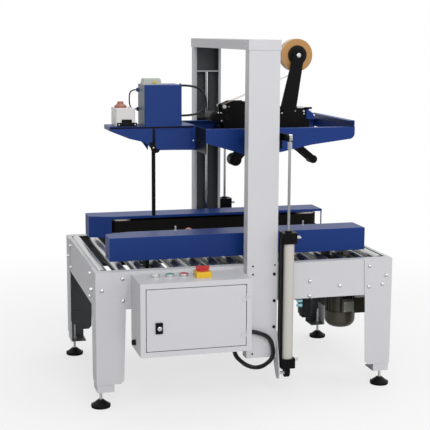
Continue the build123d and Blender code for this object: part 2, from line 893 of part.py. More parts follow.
# Junction box on the arm, with a low hood on its lid
junction_y = -arm_half_width + junction_depth / 2
with BuildPart() as junction_box:
    with BuildSketch(Plane.XY.offset(arm_top)):
        with Locations(((junction_left + junction_right) / 2, junction_y)):
            Rectangle(junction_right - junction_left, junction_depth)
    extrude(amount=junction_height)
    fillet(junction_box.edges().filter_by(Axis.Z), radius=2 * bend_radius)
    fillet(junction_box.edges().group_by(Axis.Z)[-1], radius=bend_radius)
    with BuildSketch(Plane.YZ.offset(junction_right)):
        with Locations(signal_route[0][1:], signal_route[-1][1:]):
            Circle(small_gland_radius)
    extrude(amount=small_gland_length)
    with BuildSketch(Plane.YZ.offset(junction_left)):
        with Locations(stop_lead_route[0][1:], stop_lead_route[-1][1:]):
            Circle(small_gland_radius)
    extrude(amount=-small_gland_length)
junction_box.part.label = "junction_box"
export_centred(junction_box.part)

with BuildPart() as junction_hood:
    with BuildSketch(Plane.XY.offset(arm_top + junction_height)):
        with Locations((junction_left + hood_width / 2 + bend_radius, junction_y)):
            Rectangle(hood_width, hood_depth)
    extrude(amount=hood_height, taper=hood_slope)
junction_hood.part.label = "junction_hood"
export_centred(junction_hood.part)

# Emergency stop: grey box on the arm's end with a mushroom button on top
stop_x = stop_box_left + stop_box_width / 2
with BuildPart() as stop_box:
    with BuildSketch(Plane.XY.offset(arm_top)):
        with Locations((stop_x, 0)):
            Rectangle(stop_box_width, stop_box_depth)
    extrude(amount=stop_box_height)
    fillet(stop_box.edges().filter_by(Axis.Z), radius=2 * bend_radius)
    fillet(stop_box.edges().group_by(Axis.Z)[-1], radius=bend_radius)
stop_box.part.label = "stop_box"
export_centred(stop_box.part)

stop_box_top = arm_top + stop_box_height
with BuildPart() as emergency_button:
    with BuildSketch(Plane.XY.offset(stop_box_top)):
        with Locations((stop_x - stop_button_offset, 0)):
            Circle(stop_button_radius)
    extrude(amount=stop_button_height / 3)
    with BuildSketch(Plane.XY.offset(stop_box_top + stop_button_height / 3)):
        with Locations((stop_x - stop_button_offset, 0)):
            Circle(stop_button_radius - 2)
    with BuildSketch(Plane.XY.offset(stop_box_top + stop_button_height * 2 / 3)):
        with Locations((stop_x - stop_button_offset, 0)):
            Circle(stop_button_top_radius)
    loft()
    with BuildSketch(Plane.XY.offset(stop_box_top + stop_button_height * 2 / 3)):
        with Locations((stop_x - stop_button_offset, 0)):
            Circle(stop_button_top_radius)
    extrude(amount=stop_button_height / 3)
    rim = emergency_button.edges().filter_by(GeomType.CIRCLE).group_by(Axis.Z)[-1]
    chamfer(rim, length=2)
emergency_button.part.label = "emergency_button"
export_centred(emergency_button.part)

# Tape unit: two black plates tied by spacers, slotted over the cross bars
guide_ring_at = [(6, 76), (10, 36)]
unit_spacer_at = [(80, 48), (180, -2), (250, 43), (370, 38), (100, -67), (290, -67)]
with BuildPart() as tape_unit:
    for plate_y in (unit_half_width, -unit_inner):
        with BuildSketch(head_plane(plate_y)):
            with BuildLine():
                Polyline(
                    (-4, 13), (-8, 88), (34, 106), (104, 106), (122, 84), (278, 76), (404, 72),
                    (408, -12), (398, -72), (300, -90), (40, -90), (8, -42), close=True,
                )
            make_face()
            for x in cross_bar_x:
                with Locations((x, cross_bar_side - cross_bar_drop)):
                    Rectangle(cross_bar_side + 2 * bolt_play, slot_depth,
                              align=(Align.CENTER, Align.MAX), mode=Mode.SUBTRACT)
        extrude(amount=-unit_plate)
    with BuildSketch(head_plane(0)):
        with Locations(unit_spacer_at):
            Circle(spacer_radius)
    extrude(amount=unit_inner, both=True)
    with BuildSketch(head_plane(0)):
        with Locations(guide_ring_at):
            Circle(guide_pin_radius)
    extrude(amount=unit_half_width + guide_ring_width + 2, both=True)
tape_unit.part.label = "tape_unit"
export_centred(tape_unit.part)

# White guide rollers at the unit's infeed end
with BuildPart() as guide_rollers:
    for ring_y in (unit_half_width + bolt_play, -unit_half_width - bolt_play - guide_ring_width):
        with BuildSketch(head_plane(ring_y)):
            with Locations(guide_ring_at):
                Circle(guide_ring_radius)
                Circle(guide_pin_radius + running_gap, mode=Mode.SUBTRACT)
        extrude(amount=guide_ring_width)
guide_rollers.part.label = "guide_rollers"
export_centred(guide_rollers.part)


# Press and wipe arms: cheek pairs from a pivot pin down to their rollers
def roller_arm(pivot, roller_at, radius, end_radius):
    with BuildPart() as arm:
        for cheek_y in (arm_half_gap, -arm_half_gap + unit_plate):
            with BuildSketch(head_plane(cheek_y)):
                with Locations(pivot, roller_at):
                    Circle(end_radius)
                make_hull()
            extrude(amount=-unit_plate)
        with BuildSketch(head_plane(0)):
            with Locations(roller_at):
                Circle(radius)
        extrude(amount=arm_half_gap - unit_plate, both=True)
        with BuildSketch(head_plane(0)):
            with Locations(pivot):
                Circle(axle_radius)
        extrude(amount=unit_inner, both=True)
    return arm.part


with BuildPart() as roller_arms:
    add(roller_arm(press_pivot, press_roller_at, press_roller_radius, press_arm_radius))
    add(roller_arm(wipe_pivot, wipe_roller_at, wipe_roller_radius, wipe_arm_radius))
roller_arms.part.label = "roller_arms"
export_centred(roller_arms.part)

# Arm of the tape roll, with the spindle that the hub turns on
with BuildPart() as roll_arm:
    with BuildSketch(Plane.XZ.offset(unit_half_width)):
        with Locations(roll_arm_foot):
            Circle(roll_arm_foot_radius)
        with Locations((roll_x, roll_z)):
            Circle(roll_arm_top_radius)
        make_hull()
    extrude(amount=roll_arm_thickness)
    with BuildSketch(Plane.XZ.offset(unit_half_width)):
        with Locations((roll_x, roll_z)):
            Circle(spindle_radius)
    extrude(amount=-(unit_half_width + roll_width / 2 + foot_plate))
roll_arm.part.label = "roll_arm"
export_centred(roll_arm.part)

# Tape roll and its hub, which turn together
with BuildPart() as tape_roll:
    with BuildSketch(Plane.XZ):
        with Locations((roll_x, roll_z)):
            Circle(roll_radius)
            Circle(core_radius, mode=Mode.SUBTRACT)
    extrude(amount=roll_width / 2, both=True)
tape_roll.part.label = "tape_roll"
export_centred(tape_roll.part)

with BuildPart() as tape_hub:
    with BuildSketch(Plane.XZ):
        with Locations((roll_x, roll_z)):
            Circle(core_radius - running_gap)
    extrude(amount=roll_width / 2, both=True)
    with BuildSketch(Plane.XZ.offset(roll_width / 2)):
        with Locations((roll_x, roll_z)):
            Circle(hub_flange_radius)
    extrude(amount=hub_flange)
    with BuildSketch(Plane.XZ):
        with Locations((roll_x, roll_z)):
            Circle(spindle_radius + running_gap)
    extrude(amount=roll_width, both=True, mode=Mode.SUBTRACT)
tape_hub.part.label = "tape_hub"
export_centred(tape_hub.part)


# Side drives: all pieces of the front drive, reflected for the back one
def drive_housing():
    with BuildPart() as housing:
        with BuildSketch(Plane.XY.offset(drive_bottom)):
            with BuildLine():
                Polyline(
                    (drive_left, -drive_outer_y), (drive_right, -drive_outer_y),
                    (drive_right, -drive_inner_y), (lead_in_x, -drive_inner_y),
                    (drive_left, -drive_inner_y - lead_in_depth), close=True,
                )
            make_face()
        extrude(amount=drive_height)
        fillet(housing.edges().group_by(Axis.Z)[-1], radius=bend_radius)
        with BuildSketch(Plane.XY.offset(drive_bottom + drive_sheet)):
            with BuildLine():
                Polyline(
                    (drive_left, -drive_outer_y), (drive_right, -drive_outer_y),
                    (drive_right, -drive_inner_y), (lead_in_x, -drive_inner_y),
                    (drive_left, -drive_inner_y - lead_in_depth), close=True,
                )
            make_face()
            offset(amount=-drive_sheet, mode=Mode.REPLACE)
        extrude(amount=drive_height - 2 * drive_sheet, mode=Mode.SUBTRACT)
        with BuildSketch(Plane.XZ.offset(drive_inner_y)):
            with Locations(((lead_in_x + drive_right) / 2, drive_bottom + drive_height / 2)):
                Rectangle(drive_right - lead_in_x, drive_height - 2 * window_margin)
        extrude(amount=drive_sheet, mode=Mode.SUBTRACT)
        with BuildSketch(Plane.YZ.offset(drive_right)):
            with Locations((-drive_inner_y - drive_width / 2, drive_bottom + drive_height / 2)):
                Rectangle(drive_width - 2 * window_margin, drive_height - 2 * window_margin)
        extrude(amount=-drive_sheet, mode=Mode.SUBTRACT)
    return housing.part


def drive_belt():
    with BuildPart() as belt:
        with BuildSketch(Plane.XY.offset(belt_bottom)):
            with Locations(((idler_x + motor_x) / 2, -belt_line_y)):
                SlotCenterToCenter(motor_x - idler_x, 2 * (pulley_radius + belt_thickness))
                SlotCenterToCenter(motor_x - idler_x, 2 * pulley_radius, mode=Mode.SUBTRACT)
        extrude(amount=belt_height)
    return belt.part


def drive_pulleys():
    pulley_bottom = drive_bottom + (drive_height - pulley_height) / 2
    with BuildPart() as pulleys:
        with BuildSketch(Plane.XY.offset(pulley_bottom)):
            with Locations((idler_x, -belt_line_y), (motor_x, -belt_line_y)):
                Circle(pulley_radius)
        extrude(amount=pulley_height)
        with BuildSketch(Plane.XY.offset(drive_bottom + drive_sheet)):
            with Locations((idler_x, -belt_line_y), (motor_x, -belt_line_y)):
                Circle(slide_radius)
        extrude(amount=drive_height - 2 * drive_sheet)
    return pulleys.part


def drive_motor():
    gearbox_top = gearbox_bottom + gearbox_height
    with BuildPart() as motor:
        with BuildSketch(Plane.XY.offset(gearbox_top)):
            with Locations((motor_x, -belt_line_y)):
                Rectangle(neck_width, neck_depth)
        extrude(amount=drive_bottom - gearbox_top)
        with BuildSketch(Plane.XY.offset(gearbox_bottom)):
            with Locations((motor_x, -belt_line_y)):
                RectangleRounded(gearbox_side, gearbox_side, cap_corner)
        extrude(amount=gearbox_height)
        with BuildSketch(Plane.XY.offset(motor_bottom)):
            with Locations((motor_x, -belt_line_y)):
                Circle(motor_radius)
                with PolarLocations(motor_radius, motor_rib_count):
                    Rectangle(2 * motor_rib_height, motor_rib_height / 2)
        extrude(amount=gearbox_bottom - motor_bottom)
        with BuildSketch(Plane.XY.offset(fan_cover_bottom)):
            with Locations((motor_x, -belt_line_y)):
                Circle(fan_cover_radius)
        extrude(amount=motor_bottom - fan_cover_bottom)
        dome_rim = motor.edges().filter_by(GeomType.CIRCLE).group_by(Axis.Z)[0]
        fillet(dome_rim, radius=fan_cover_dome)
        with BuildSketch(Plane.XY.offset(motor_bottom + foot_plate)):
            with Locations((motor_x, -belt_line_y - motor_radius)):
                Rectangle(terminal_box_width, terminal_box_depth)
        extrude(amount=terminal_box_height)
        with BuildSketch(Plane.XY.offset(capacitor_box_bottom)):
            with Locations((motor_x, -belt_line_y)):
                Rectangle(capacitor_box_reach, capacitor_box_width,
                          align=(Align.MIN, Align.CENTER))
        extrude(amount=capacitor_box_height)
    return motor.part


def slide_bracket():
    block_bottom = slide_z - slide_block_height / 2
    with BuildPart() as bracket:
        with BuildSketch(Plane.XY.offset(block_bottom)):
            with Locations((-slide_x, -drive_inner_y - drive_width / 2),
                           (slide_x, -drive_inner_y - drive_width / 2)):
                Rectangle(slide_block_width, slide_block_depth)
        extrude(amount=slide_block_height)
        with BuildSketch(Plane.XY.offset(block_bottom + slide_block_height)):
            with Locations((-slide_x, -drive_inner_y - drive_width / 2),
                           (slide_x, -drive_inner_y - drive_width / 2)):
                Rectangle(slide_leg_width, slide_leg_depth)
        extrude(amount=drive_bottom - block_bottom - slide_block_height)
        with BuildSketch(Plane.XZ.offset(drive_inner_y)):
            with Locations((-slide_x, slide_z), (slide_x, slide_z)):
                Circle(slide_radius + running_gap)
        extrude(amount=drive_width, mode=Mode.SUBTRACT)
    return bracket.part


drive_pieces = {
    "drive_housing": drive_housing(),
    "drive_belt": drive_belt(),
    "drive_pulleys": drive_pulleys(),
    "drive_motor": drive_motor(),
    "slide_bracket": slide_bracket(),
}
for piece_name, shape in drive_pieces.items():
    for side_name, to_back in (("front", False), ("back", True)):
        with BuildPart() as drive_piece:
            add(mirror_front_to_back(shape) if to_back else shape)
        drive_piece.part.label = f"{piece_name}_{side_name}"
        export_centred(drive_piece.part)

# Shafts under the bed that the side drives slide on
with BuildPart() as slide_shafts:
    with BuildSketch(Plane.XZ):
        with Locations((-slide_x, slide_z), (slide_x, slide_z)):
            Circle(slide_radius)
    extrude(amount=rail_y - rail_sheet, both=True)
slide_shafts.part.label = "slide_shafts"
export_centred(slide_shafts.part)

# Lower tape unit in the well: plates with tie bars, and its two rollers
lower_roller_at = [(well_mid_x - lower_roller_reach, lower_roller_z),
                   (well_mid_x + lower_roller_reach, lower_roller_z)]
lower_foot_half = well_half_length - 2 * well_plate - lower_foot_play
lower_waist_half = well_half_length - cross_bar_side - lower_foot_play
lower_tie_x = lower_waist_half - lower_roller_radius
with BuildPart() as lower_half_plate:
    with BuildSketch(Plane.XZ.offset(lower_plate_y)):
        with BuildLine():
            Polyline(
                (well_mid_x, lower_plate_bottom),
                (well_mid_x + lower_waist_half, lower_plate_bottom),
                (well_mid_x + lower_waist_half, rail_top - lower_foot_drop),
                (well_mid_x + lower_foot_half, rail_top),
                (well_mid_x + lower_roller_reach + lower_tip_reach, rail_top + lower_tip_reach),
                (well_mid_x + lower_roller_reach + lower_tip_reach,
                 lower_roller_z + lower_tip_reach),
                (well_mid_x + lower_roller_reach - lower_roller_radius,
                 lower_roller_z + lower_tip_reach),
                (well_mid_x + lower_tie_x, rail_top + lower_bridge_rise),
                (well_mid_x, rail_top + lower_bridge_rise), close=True,
            )
        make_face()
        with Locations(lower_roller_at[1]):
            Circle(axle_radius + running_gap, mode=Mode.SUBTRACT)
    extrude(amount=-unit_plate)
with BuildPart() as lower_tape_unit:
    add(lower_half_plate.part)
    mirror(lower_half_plate.part, about=Plane.YZ.offset(well_mid_x))
    mirror(lower_tape_unit.part, about=Plane.XZ)
    with BuildSketch(Plane.XZ):
        with Locations((well_mid_x - lower_tie_x, lower_tie_z), (well_mid_x, lower_tie_z),
                       (well_mid_x + lower_tie_x, lower_tie_z)):
            Circle(spacer_radius)
    extrude(amount=lower_plate_y - unit_plate, both=True)
    with BuildSketch(Plane.XZ):
        with Locations((well_mid_x - lower_tie_x, lower_tie_z),
                       (well_mid_x + lower_tie_x, lower_tie_z)):
            Circle(axle_radius)
    extrude(amount=well_half_width - well_plate, both=True)
lower_tape_unit.part.label = "lower_tape_unit"
export_centred(lower_tape_unit.part)

with BuildPart() as lower_rollers:
    with BuildSketch(Plane.XZ):
        with Locations(lower_roller_at):
            Circle(lower_roller_radius)
    extrude(amount=lower_plate_y - unit_plate - bolt_play, both=True)
    with BuildSketch(Plane.XZ):
        with Locations(lower_roller_at):
            Circle(axle_radius)
    extrude(amount=lower_plate_y, both=True)
lower_rollers.part.label = "lower_rollers"
export_centred(lower_rollers.part)

# Air valve block under the front rail, right of the cylinder
with BuildPart() as air_valve:
    with BuildSketch(Plane.XY.offset(rail_bottom)):
        with Locations((column_right + valve_gap, -rail_y + valve_depth / 2 + bend_radius)):
            RectangleRounded(valve_width, valve_depth, bend_radius)
    extrude(amount=-valve_height)
air_valve.part.label = "air_valve"
export_centred(air_valve.part)

# Control box: sheet metal case with a framed door opening
box_width = box_right - box_left
box_height = box_top - box_bottom
box_mid = ((box_left + box_right) / 2, (box_bottom + box_top) / 2)
hinge_x = box_right - box_frame
hinge_y = -box_front_y - knuckle_radius
with BuildPart() as control_box:
    with BuildSketch(Plane.XZ.offset(rail_y)):
        with Locations(box_mid):
            Rectangle(box_width, box_height)
    extrude(amount=box_front_y - rail_y)
    fillet(control_box.edges().filter_by(Axis.Y), radius=bend_radius)
    with BuildSketch(Plane.XZ.offset(rail_y + box_sheet)):
        with Locations(box_mid):
            Rectangle(box_width - 2 * box_sheet, box_height - 2 * box_sheet)
    extrude(amount=box_front_y - rail_y - 2 * box_sheet, mode=Mode.SUBTRACT)
    with BuildSketch(Plane.XZ.offset(box_front_y)):
        with Locations(box_mid):
            Rectangle(box_width - 2 * box_frame, box_height - 2 * box_frame)
    extrude(amount=-box_sheet, mode=Mode.SUBTRACT)
    for hinge_z in (box_bottom + box_height / 4, box_top - box_height / 4):
        with BuildSketch(Plane.XY.offset(hinge_z)):
            with Locations((hinge_x, hinge_y)):
                Circle(knuckle_radius)
                Rectangle(box_frame - door_gap, knuckle_radius, align=(Align.MIN, Align.MIN))
        extrude(amount=knuckle_height)
        with BuildSketch(Plane.XY.offset(hinge_z - knuckle_height)):
            with Locations((hinge_x, hinge_y)):
                Circle(hinge_pin_radius)
        extrude(amount=2 * knuckle_height)
    with BuildSketch(Plane.YZ.offset(box_right)):
        with Locations(supply_route[0][1:]):
            Circle(gland_width / 2)
    extrude(amount=gland_length)
    with BuildSketch(Plane.XY.offset(box_bottom)):
        with Locations(supply_route[-1][:2]):
            Circle(gland_width / 2)
    extrude(amount=-gland_length)
control_box.part.label = "control_box"
export_centred(control_box.part)

door_width = box_width - 2 * box_frame - 2 * door_gap
door_height = box_height - 2 * box_frame - 2 * door_gap
with BuildPart() as control_door:
    with BuildSketch(Plane.XZ.offset(box_front_y)):
        with Locations(box_mid):
            Rectangle(door_width, door_height)
    extrude(amount=-door_lip)
    fillet(control_door.edges().filter_by(Axis.Y), radius=bend_radius)
    with BuildSketch(Plane.XZ.offset(box_front_y - door_sheet)):
        with Locations(box_mid):
            Rectangle(door_width - 2 * door_sheet, door_height - 2 * door_sheet)
    extrude(amount=-door_lip, mode=Mode.SUBTRACT)
    for hinge_z in (box_bottom + box_height / 4, box_top - box_height / 4):
        with BuildSketch(Plane.XY.offset(hinge_z - bolt_play)):
            with Locations((hinge_x, hinge_y)):
                Circle(knuckle_radius)
            with Locations((hinge_x, -box_front_y)):
                Rectangle(box_frame, knuckle_radius, align=(Align.MAX, Align.MAX))
            with Locations((hinge_x, hinge_y)):
                Circle(hinge_pin_radius + running_gap, mode=Mode.SUBTRACT)
        extrude(amount=-knuckle_height)
control_door.part.label = "control_door"
export_centred(control_door.part)

with BuildPart() as door_lock:
    with BuildSketch(Plane.XZ.offset(box_front_y)):
        with Locations(lock_at):
            RectangleRounded(lock_plate_width, lock_plate_height, bend_radius)
    extrude(amount=lock_plate)
    with BuildSketch(Plane.XZ.offset(box_front_y + lock_plate)):
        with Locations(lock_at):
            Circle(lock_barrel_radius)
    extrude(amount=lock_barrel)
door_lock.part.label = "door_lock"
export_centred(door_lock.part)

# Push buttons and the main switch on the box's top
with BuildPart() as push_buttons:
    with BuildSketch(Plane.XY.offset(box_top)):
        with Locations([(x, -button_y) for x in push_button_x]):
            Circle(button_radius)
    extrude(amount=button_height / 2)
    with BuildSketch(Plane.XY.offset(box_top)):
        with Locations([(x, -button_y) for x in push_button_x]):
            Circle(button_cap_radius)
    extrude(amount=button_height)
push_buttons.part.label = "push_buttons"
export_centred(push_buttons.part)

with BuildPart() as switch_box:
    with BuildSketch(Plane.XY.offset(box_top)):
        with Locations((switch_x, -switch_y)):
            RectangleRounded(switch_side, switch_side, bend_radius)
    extrude(amount=switch_height)
switch_box.part.label = "switch_box"
export_centred(switch_box.part)

with BuildPart() as switch_knob:
    with BuildSketch(Plane.XY.offset(box_top + switch_height)):
        with Locations((switch_x, -switch_y)):
            Circle(switch_knob_radius)
    extrude(amount=switch_knob_base)
    with BuildSketch(Plane.XY.offset(box_top + switch_height + switch_knob_base)):
        with Locations((switch_x, -switch_y)):
            RectangleRounded(switch_handle_length, switch_handle_width, switch_handle_corner)
    extrude(amount=switch_handle_height)
switch_knob.part.label = "switch_knob"
export_centred(switch_knob.part)


# Cables: straight runs joined by arcs, each from one gland to another
def corner_radii(route):
    """The bend at each corner: 0.45 of the shorter run over the tangent of half the turn."""
    radii = []
    for before, corner, after in zip(route, route[1:], route[2:]):
        run_in = Vector(*corner) - Vector(*before)
        run_out = Vector(*after) - Vector(*corner)
        half_turn = math.radians(run_in.get_angle(run_out) / 2)
        radii.append(0.45 * min(run_in.length, run_out.length) / math.tan(half_turn))
    return radii


def cable(name, route, diameter):
    radii = corner_radii(route)
    with BuildPart() as tube:
        with BuildLine():
            path = FilletPolyline(*route, radius=radii)
        with BuildSketch(Plane(origin=path @ 0, z_dir=path % 0)):
            Circle(diameter / 2)
        sweep()
    section = math.pi * diameter ** 2 / 4
    print(name, "radii", [round(radius) for radius in radii], "length", round(path.length),
          "volume over section times length", round(tube.part.volume / section / path.length, 3))
    tube.part.label = name
    export_centred(tube.part)


cable("cable_loop", supply_route, supply_diameter)
cable("cable_right", signal_route, signal_diameter)
cable("cable_left", stop_lead_route, stop_lead_diameter)
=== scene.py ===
# %% [markdown]
# # Dressing a carton sealer
# The construction of this machine comes packed as a fixed frame: every plate,
# rail, roller and cylinder is already at its real size and place. Blender's part
# is what the eye reads next: paint that has been sprayed and cured, zinc that was
# rolled, rubber, tape, cables and the small screws. Each step below first says
# what the thing is on the real machine, then how it is made here.

# %% Load the frame
import math

import bmesh
import bpy
import numpy as np
from mathutils import Matrix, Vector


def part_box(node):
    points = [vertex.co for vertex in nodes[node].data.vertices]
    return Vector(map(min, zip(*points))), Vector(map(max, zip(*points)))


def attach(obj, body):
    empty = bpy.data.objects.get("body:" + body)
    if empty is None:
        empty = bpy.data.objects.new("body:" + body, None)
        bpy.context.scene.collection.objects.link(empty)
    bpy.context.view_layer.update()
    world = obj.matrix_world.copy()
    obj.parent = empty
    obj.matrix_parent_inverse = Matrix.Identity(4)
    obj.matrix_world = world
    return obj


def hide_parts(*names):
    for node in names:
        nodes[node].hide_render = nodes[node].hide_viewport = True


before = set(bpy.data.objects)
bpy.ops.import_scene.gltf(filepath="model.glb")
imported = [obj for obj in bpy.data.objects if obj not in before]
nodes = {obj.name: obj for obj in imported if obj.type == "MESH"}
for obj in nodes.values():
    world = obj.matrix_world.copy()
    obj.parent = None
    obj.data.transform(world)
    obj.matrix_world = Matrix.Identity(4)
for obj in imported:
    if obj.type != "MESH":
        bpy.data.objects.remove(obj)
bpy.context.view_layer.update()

print("nodes in the frame:", len(nodes))

# %% [markdown]
# All places are worked out from the frame. The table's own axis lies between the
# legs, not under the middle of the whole machine, because the control box reaches
# out to one side. A helper turns table millimetres into metres of the frame, so
# that sizes can be read as a fitter would read them off a drawing.

# %% Table coordinates
MM = 0.001
front_leg_low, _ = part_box("leg_front_left")
_, back_leg_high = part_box("leg_back_right")
table_y = (front_leg_low.y + back_leg_high.y) / 2
half_length = back_leg_high.x
half_width = back_leg_high.y - table_y
rail_top = back_leg_high.z


def place(x, y, z):
    """A point of the table's own millimetres, as metres in the frame."""
    return (x * MM, y * MM + table_y, z * MM)


def linked(name, data):
    """A new object of the scene that shows the data, at the origin."""
    thing = bpy.data.objects.new(name, data)
    bpy.context.collection.objects.link(thing)
    return thing


def stand(thing, axes, spot):
    """A camera or a lamp at a spot, with its own three axes as the columns of axes."""
    matrix = np.eye(4)
    matrix[:3] = np.column_stack([axes, spot])
    thing.matrix_world = Matrix(matrix.tolist())


print(f"table axis at y {table_y:.4f}, half size {half_length:.3f} by {half_width:.3f}")

# %% [markdown]
# The photograph was taken from the front left, a little above the head, with a
# long lens. A perspective fit of the legs, the rails and the columns gave the
# place of the camera, its turn, dip and roll in degrees, and the focal length. The
# picture is square and needs no shift.

# %% Camera
camera_place = place(-1332.7, -4783.3, 1561.4)
focal_pixels = 1089.57
picture_pixels = 430
camera = linked("camera", bpy.data.cameras.new("camera"))
camera.data.sensor_width = 36
camera.data.lens = camera.data.sensor_width * focal_pixels / picture_pixels
camera.data.clip_end = 60
yaw, dip, roll = np.radians([15.227, 9.478, 0.295]).tolist()
ahead = np.array([math.sin(yaw) * math.cos(dip), math.cos(yaw) * math.cos(dip), -math.sin(dip)])
level = np.array([math.cos(yaw), -math.sin(yaw), 0.0])
upward = np.cross(level, ahead)
across = level * math.cos(roll) + upward * math.sin(roll)
upright = np.cross(across, ahead)
stand(camera, np.column_stack([across, upright, -ahead]), camera_place)
bpy.context.scene.camera = camera
print("lens", round(camera.data.lens, 1), "mm")

# %% [markdown]
# Three cables go from gland to gland: a thick bundle from the control box's side
# to its underside, a signal cable beside the junction box and a thin lead on its
# other side. Rubber cable never kinks, so each line is a smooth spline through a
# few chosen points, the same steps from the boxes' corners that the frame uses.

# %% Cable routes
box_side, box_back, box_bottom = -45, -444, 272
junction_left, junction_right, arm_top = -373, -204, 1152
signal_y, stop_lead_y = -20, 70
supply_steps = [
    (12, 57, 40), (48, 57, 40), (99, 59, 26), (132, 59, -9), (142, 59, -54), (128, 57, -97),
    (91, 46, -124), (45, 31, -124), (4, 20, -101), (-25, 18, -60), (-25, 18, -12),
]
signal_steps = [(8, 178), (54, 178), (104, 159), (127, 114), (116, 68), (70, 44), (8, 44)]
stop_lead_steps = [(8, 156), (27, 156), (40, 142), (42, 114), (40, 86), (27, 70), (8, 70)]
supply_route = [place(box_side + x, box_back - y, box_bottom + z) for x, y, z in supply_steps]
signal_route = [place(junction_right + x, signal_y, arm_top + z) for x, z in signal_steps]
stop_lead_route = [place(junction_left - x, stop_lead_y, arm_top + z) for x, z in stop_lead_steps]


def cable_line(name, route):
    """An open NURBS spline with the route's points as its control points."""
    curve = bpy.data.curves.new(name, "CURVE")
    curve.dimensions = "3D"
    curve.resolution_u = 12
    spline = curve.splines.new("NURBS")
    spline.points.add(len(route) - 1)
    spline.points.foreach_set("co", [v for point in route for v in (*point, 1.0)])
    spline.order_u = 3
    spline.use_endpoint_u = True
    return linked(name, curve)


def line_points(line):
    """The points of the smooth line itself, read back from Blender as one array."""
    drawn = bpy.data.meshes.new_from_object(line)
    points = np.empty(len(drawn.vertices) * 3)
    drawn.vertices.foreach_get("co", points)
    bpy.data.meshes.remove(drawn)
    return points.reshape(-1, 3)


def line_length(points):
    """The sum of the distances between neighbouring points."""
    return float(np.linalg.norm(np.diff(points, axis=0), axis=1).sum())


supply_guide = cable_line("supply_guide", supply_route)
supply_points = line_points(supply_guide)
bpy.data.objects.remove(supply_guide)
signal_cable = cable_line("signal_cable", signal_route)
stop_lead = cable_line("stop_lead", stop_lead_route)
print("supply bundle", round(line_length(supply_points), 3), "m long")

# %% [markdown]
# New pieces are surfaces worked out as whole arrays. Three helpers are enough for
# a machine like this: a sheet of points on a grid, a profile turned about an axis,
# and a small shape stamped at many places. Working on arrays keeps the code short
# and quick, and each helper hands a clean, outward-facing mesh to Blender.

# %% Mesh helpers
SEAM = 0.00002
SLIVER = 0.00001


def finish_mesh(name, vertices, faces, material, body, smooth=35):
    """Put arrays into a mesh, merge its seams, turn its faces out and let it ride.

    The material is given by its name. An edge is smooth where its two faces turn by less
    than that many degrees.
    """
    mesh = bpy.data.meshes.new(name)
    mesh.from_pydata(np.asarray(vertices, float).tolist(), [], np.asarray(faces).tolist())
    shell = bmesh.new()
    shell.from_mesh(mesh)
    bmesh.ops.remove_doubles(shell, verts=shell.verts, dist=SEAM)
    bmesh.ops.dissolve_degenerate(shell, edges=shell.edges, dist=SLIVER)
    bmesh.ops.recalc_face_normals(shell, faces=shell.faces)
    for edge in shell.edges:
        edge.smooth = len(edge.link_faces) == 2 and edge.calc_face_angle(0) < math.radians(smooth)
    for face in shell.faces:
        face.smooth = True
    shell.to_mesh(mesh)
    shell.free()
    mesh.materials.append(bpy.data.materials[material])
    piece = linked(name, mesh)
    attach(piece, body)
    return piece


def grid_faces(rows, columns, round_rows=False, round_columns=False):
    """Quads between neighbours of a grid of points; a round direction joins its ends."""
    i = np.arange(rows if round_rows else rows - 1)[:, None]
    j = np.arange(columns if round_columns else columns - 1)[None, :]
    i_next = (i + 1) % rows
    j_next = (j + 1) % columns
    row, row_next = i * columns, i_next * columns
    quads = [row + j, row_next + j, row_next + j_next, row + j_next]
    return np.stack(np.broadcast_arrays(*quads), axis=-1).reshape(-1, 4)


def turned(profile, steps=24):
    """Each point (radius, height) of the profile goes once round the Z axis."""
    profile = np.asarray(profile, float)
    angle = np.linspace(0, 2 * math.pi, steps, endpoint=False)
    x = profile[:, 0:1] * np.cos(angle)
    y = profile[:, 0:1] * np.sin(angle)
    z = np.repeat(profile[:, 1:2], steps, axis=1)
    faces = grid_faces(len(profile), steps, False, True)
    return np.stack([x, y, z], axis=-1).reshape(-1, 3), faces


def basis_for(direction):
    """Three unit columns whose last one points along the direction."""
    ahead_axis = np.asarray(direction, float)
    ahead_axis = ahead_axis / np.linalg.norm(ahead_axis)
    helper = np.array([0, 0, 1.0]) if abs(ahead_axis[2]) < 0.9 else np.array([1.0, 0, 0])
    side = np.cross(helper, ahead_axis)
    side = side / np.linalg.norm(side)
    return np.stack([side, np.cross(ahead_axis, side), ahead_axis], axis=1)


def stamped(shape, places):
    """One (vertices, faces) shape repeated at (point, direction) places, in one mesh."""
    vertices, faces = shape
    frames = np.stack([basis_for(direction) for _, direction in places])
    points = np.array([point for point, _ in places])
    all_vertices = np.einsum("nij,vj->nvi", frames, vertices) + points[:, None, :]
    steps = np.arange(len(places))[:, None, None] * len(vertices)
    return all_vertices.reshape(-1, 3), (faces[None] + steps).reshape(-1, faces.shape[1])


def joined(*shapes):
    """Several (vertices, faces) shapes as one, each one's faces counted on from the last."""
    counts = np.cumsum([0] + [len(vertices) for vertices, _ in shapes[:-1]])
    faces = [faces + count for (_, faces), count in zip(shapes, counts)]
    return np.concatenate([vertices for vertices, _ in shapes]), np.concatenate(faces)


def moved(shape, x, y, z):
    """The same shape, shifted by x, y and z."""
    vertices, faces = shape
    return vertices + np.array([x, y, z], float), faces


def flipped(shape):
    """The shape's twin across the table's middle plane, where y changes sign."""
    vertices, faces = shape
    return vertices * np.array([1, -1, 1]), faces[:, ::-1]


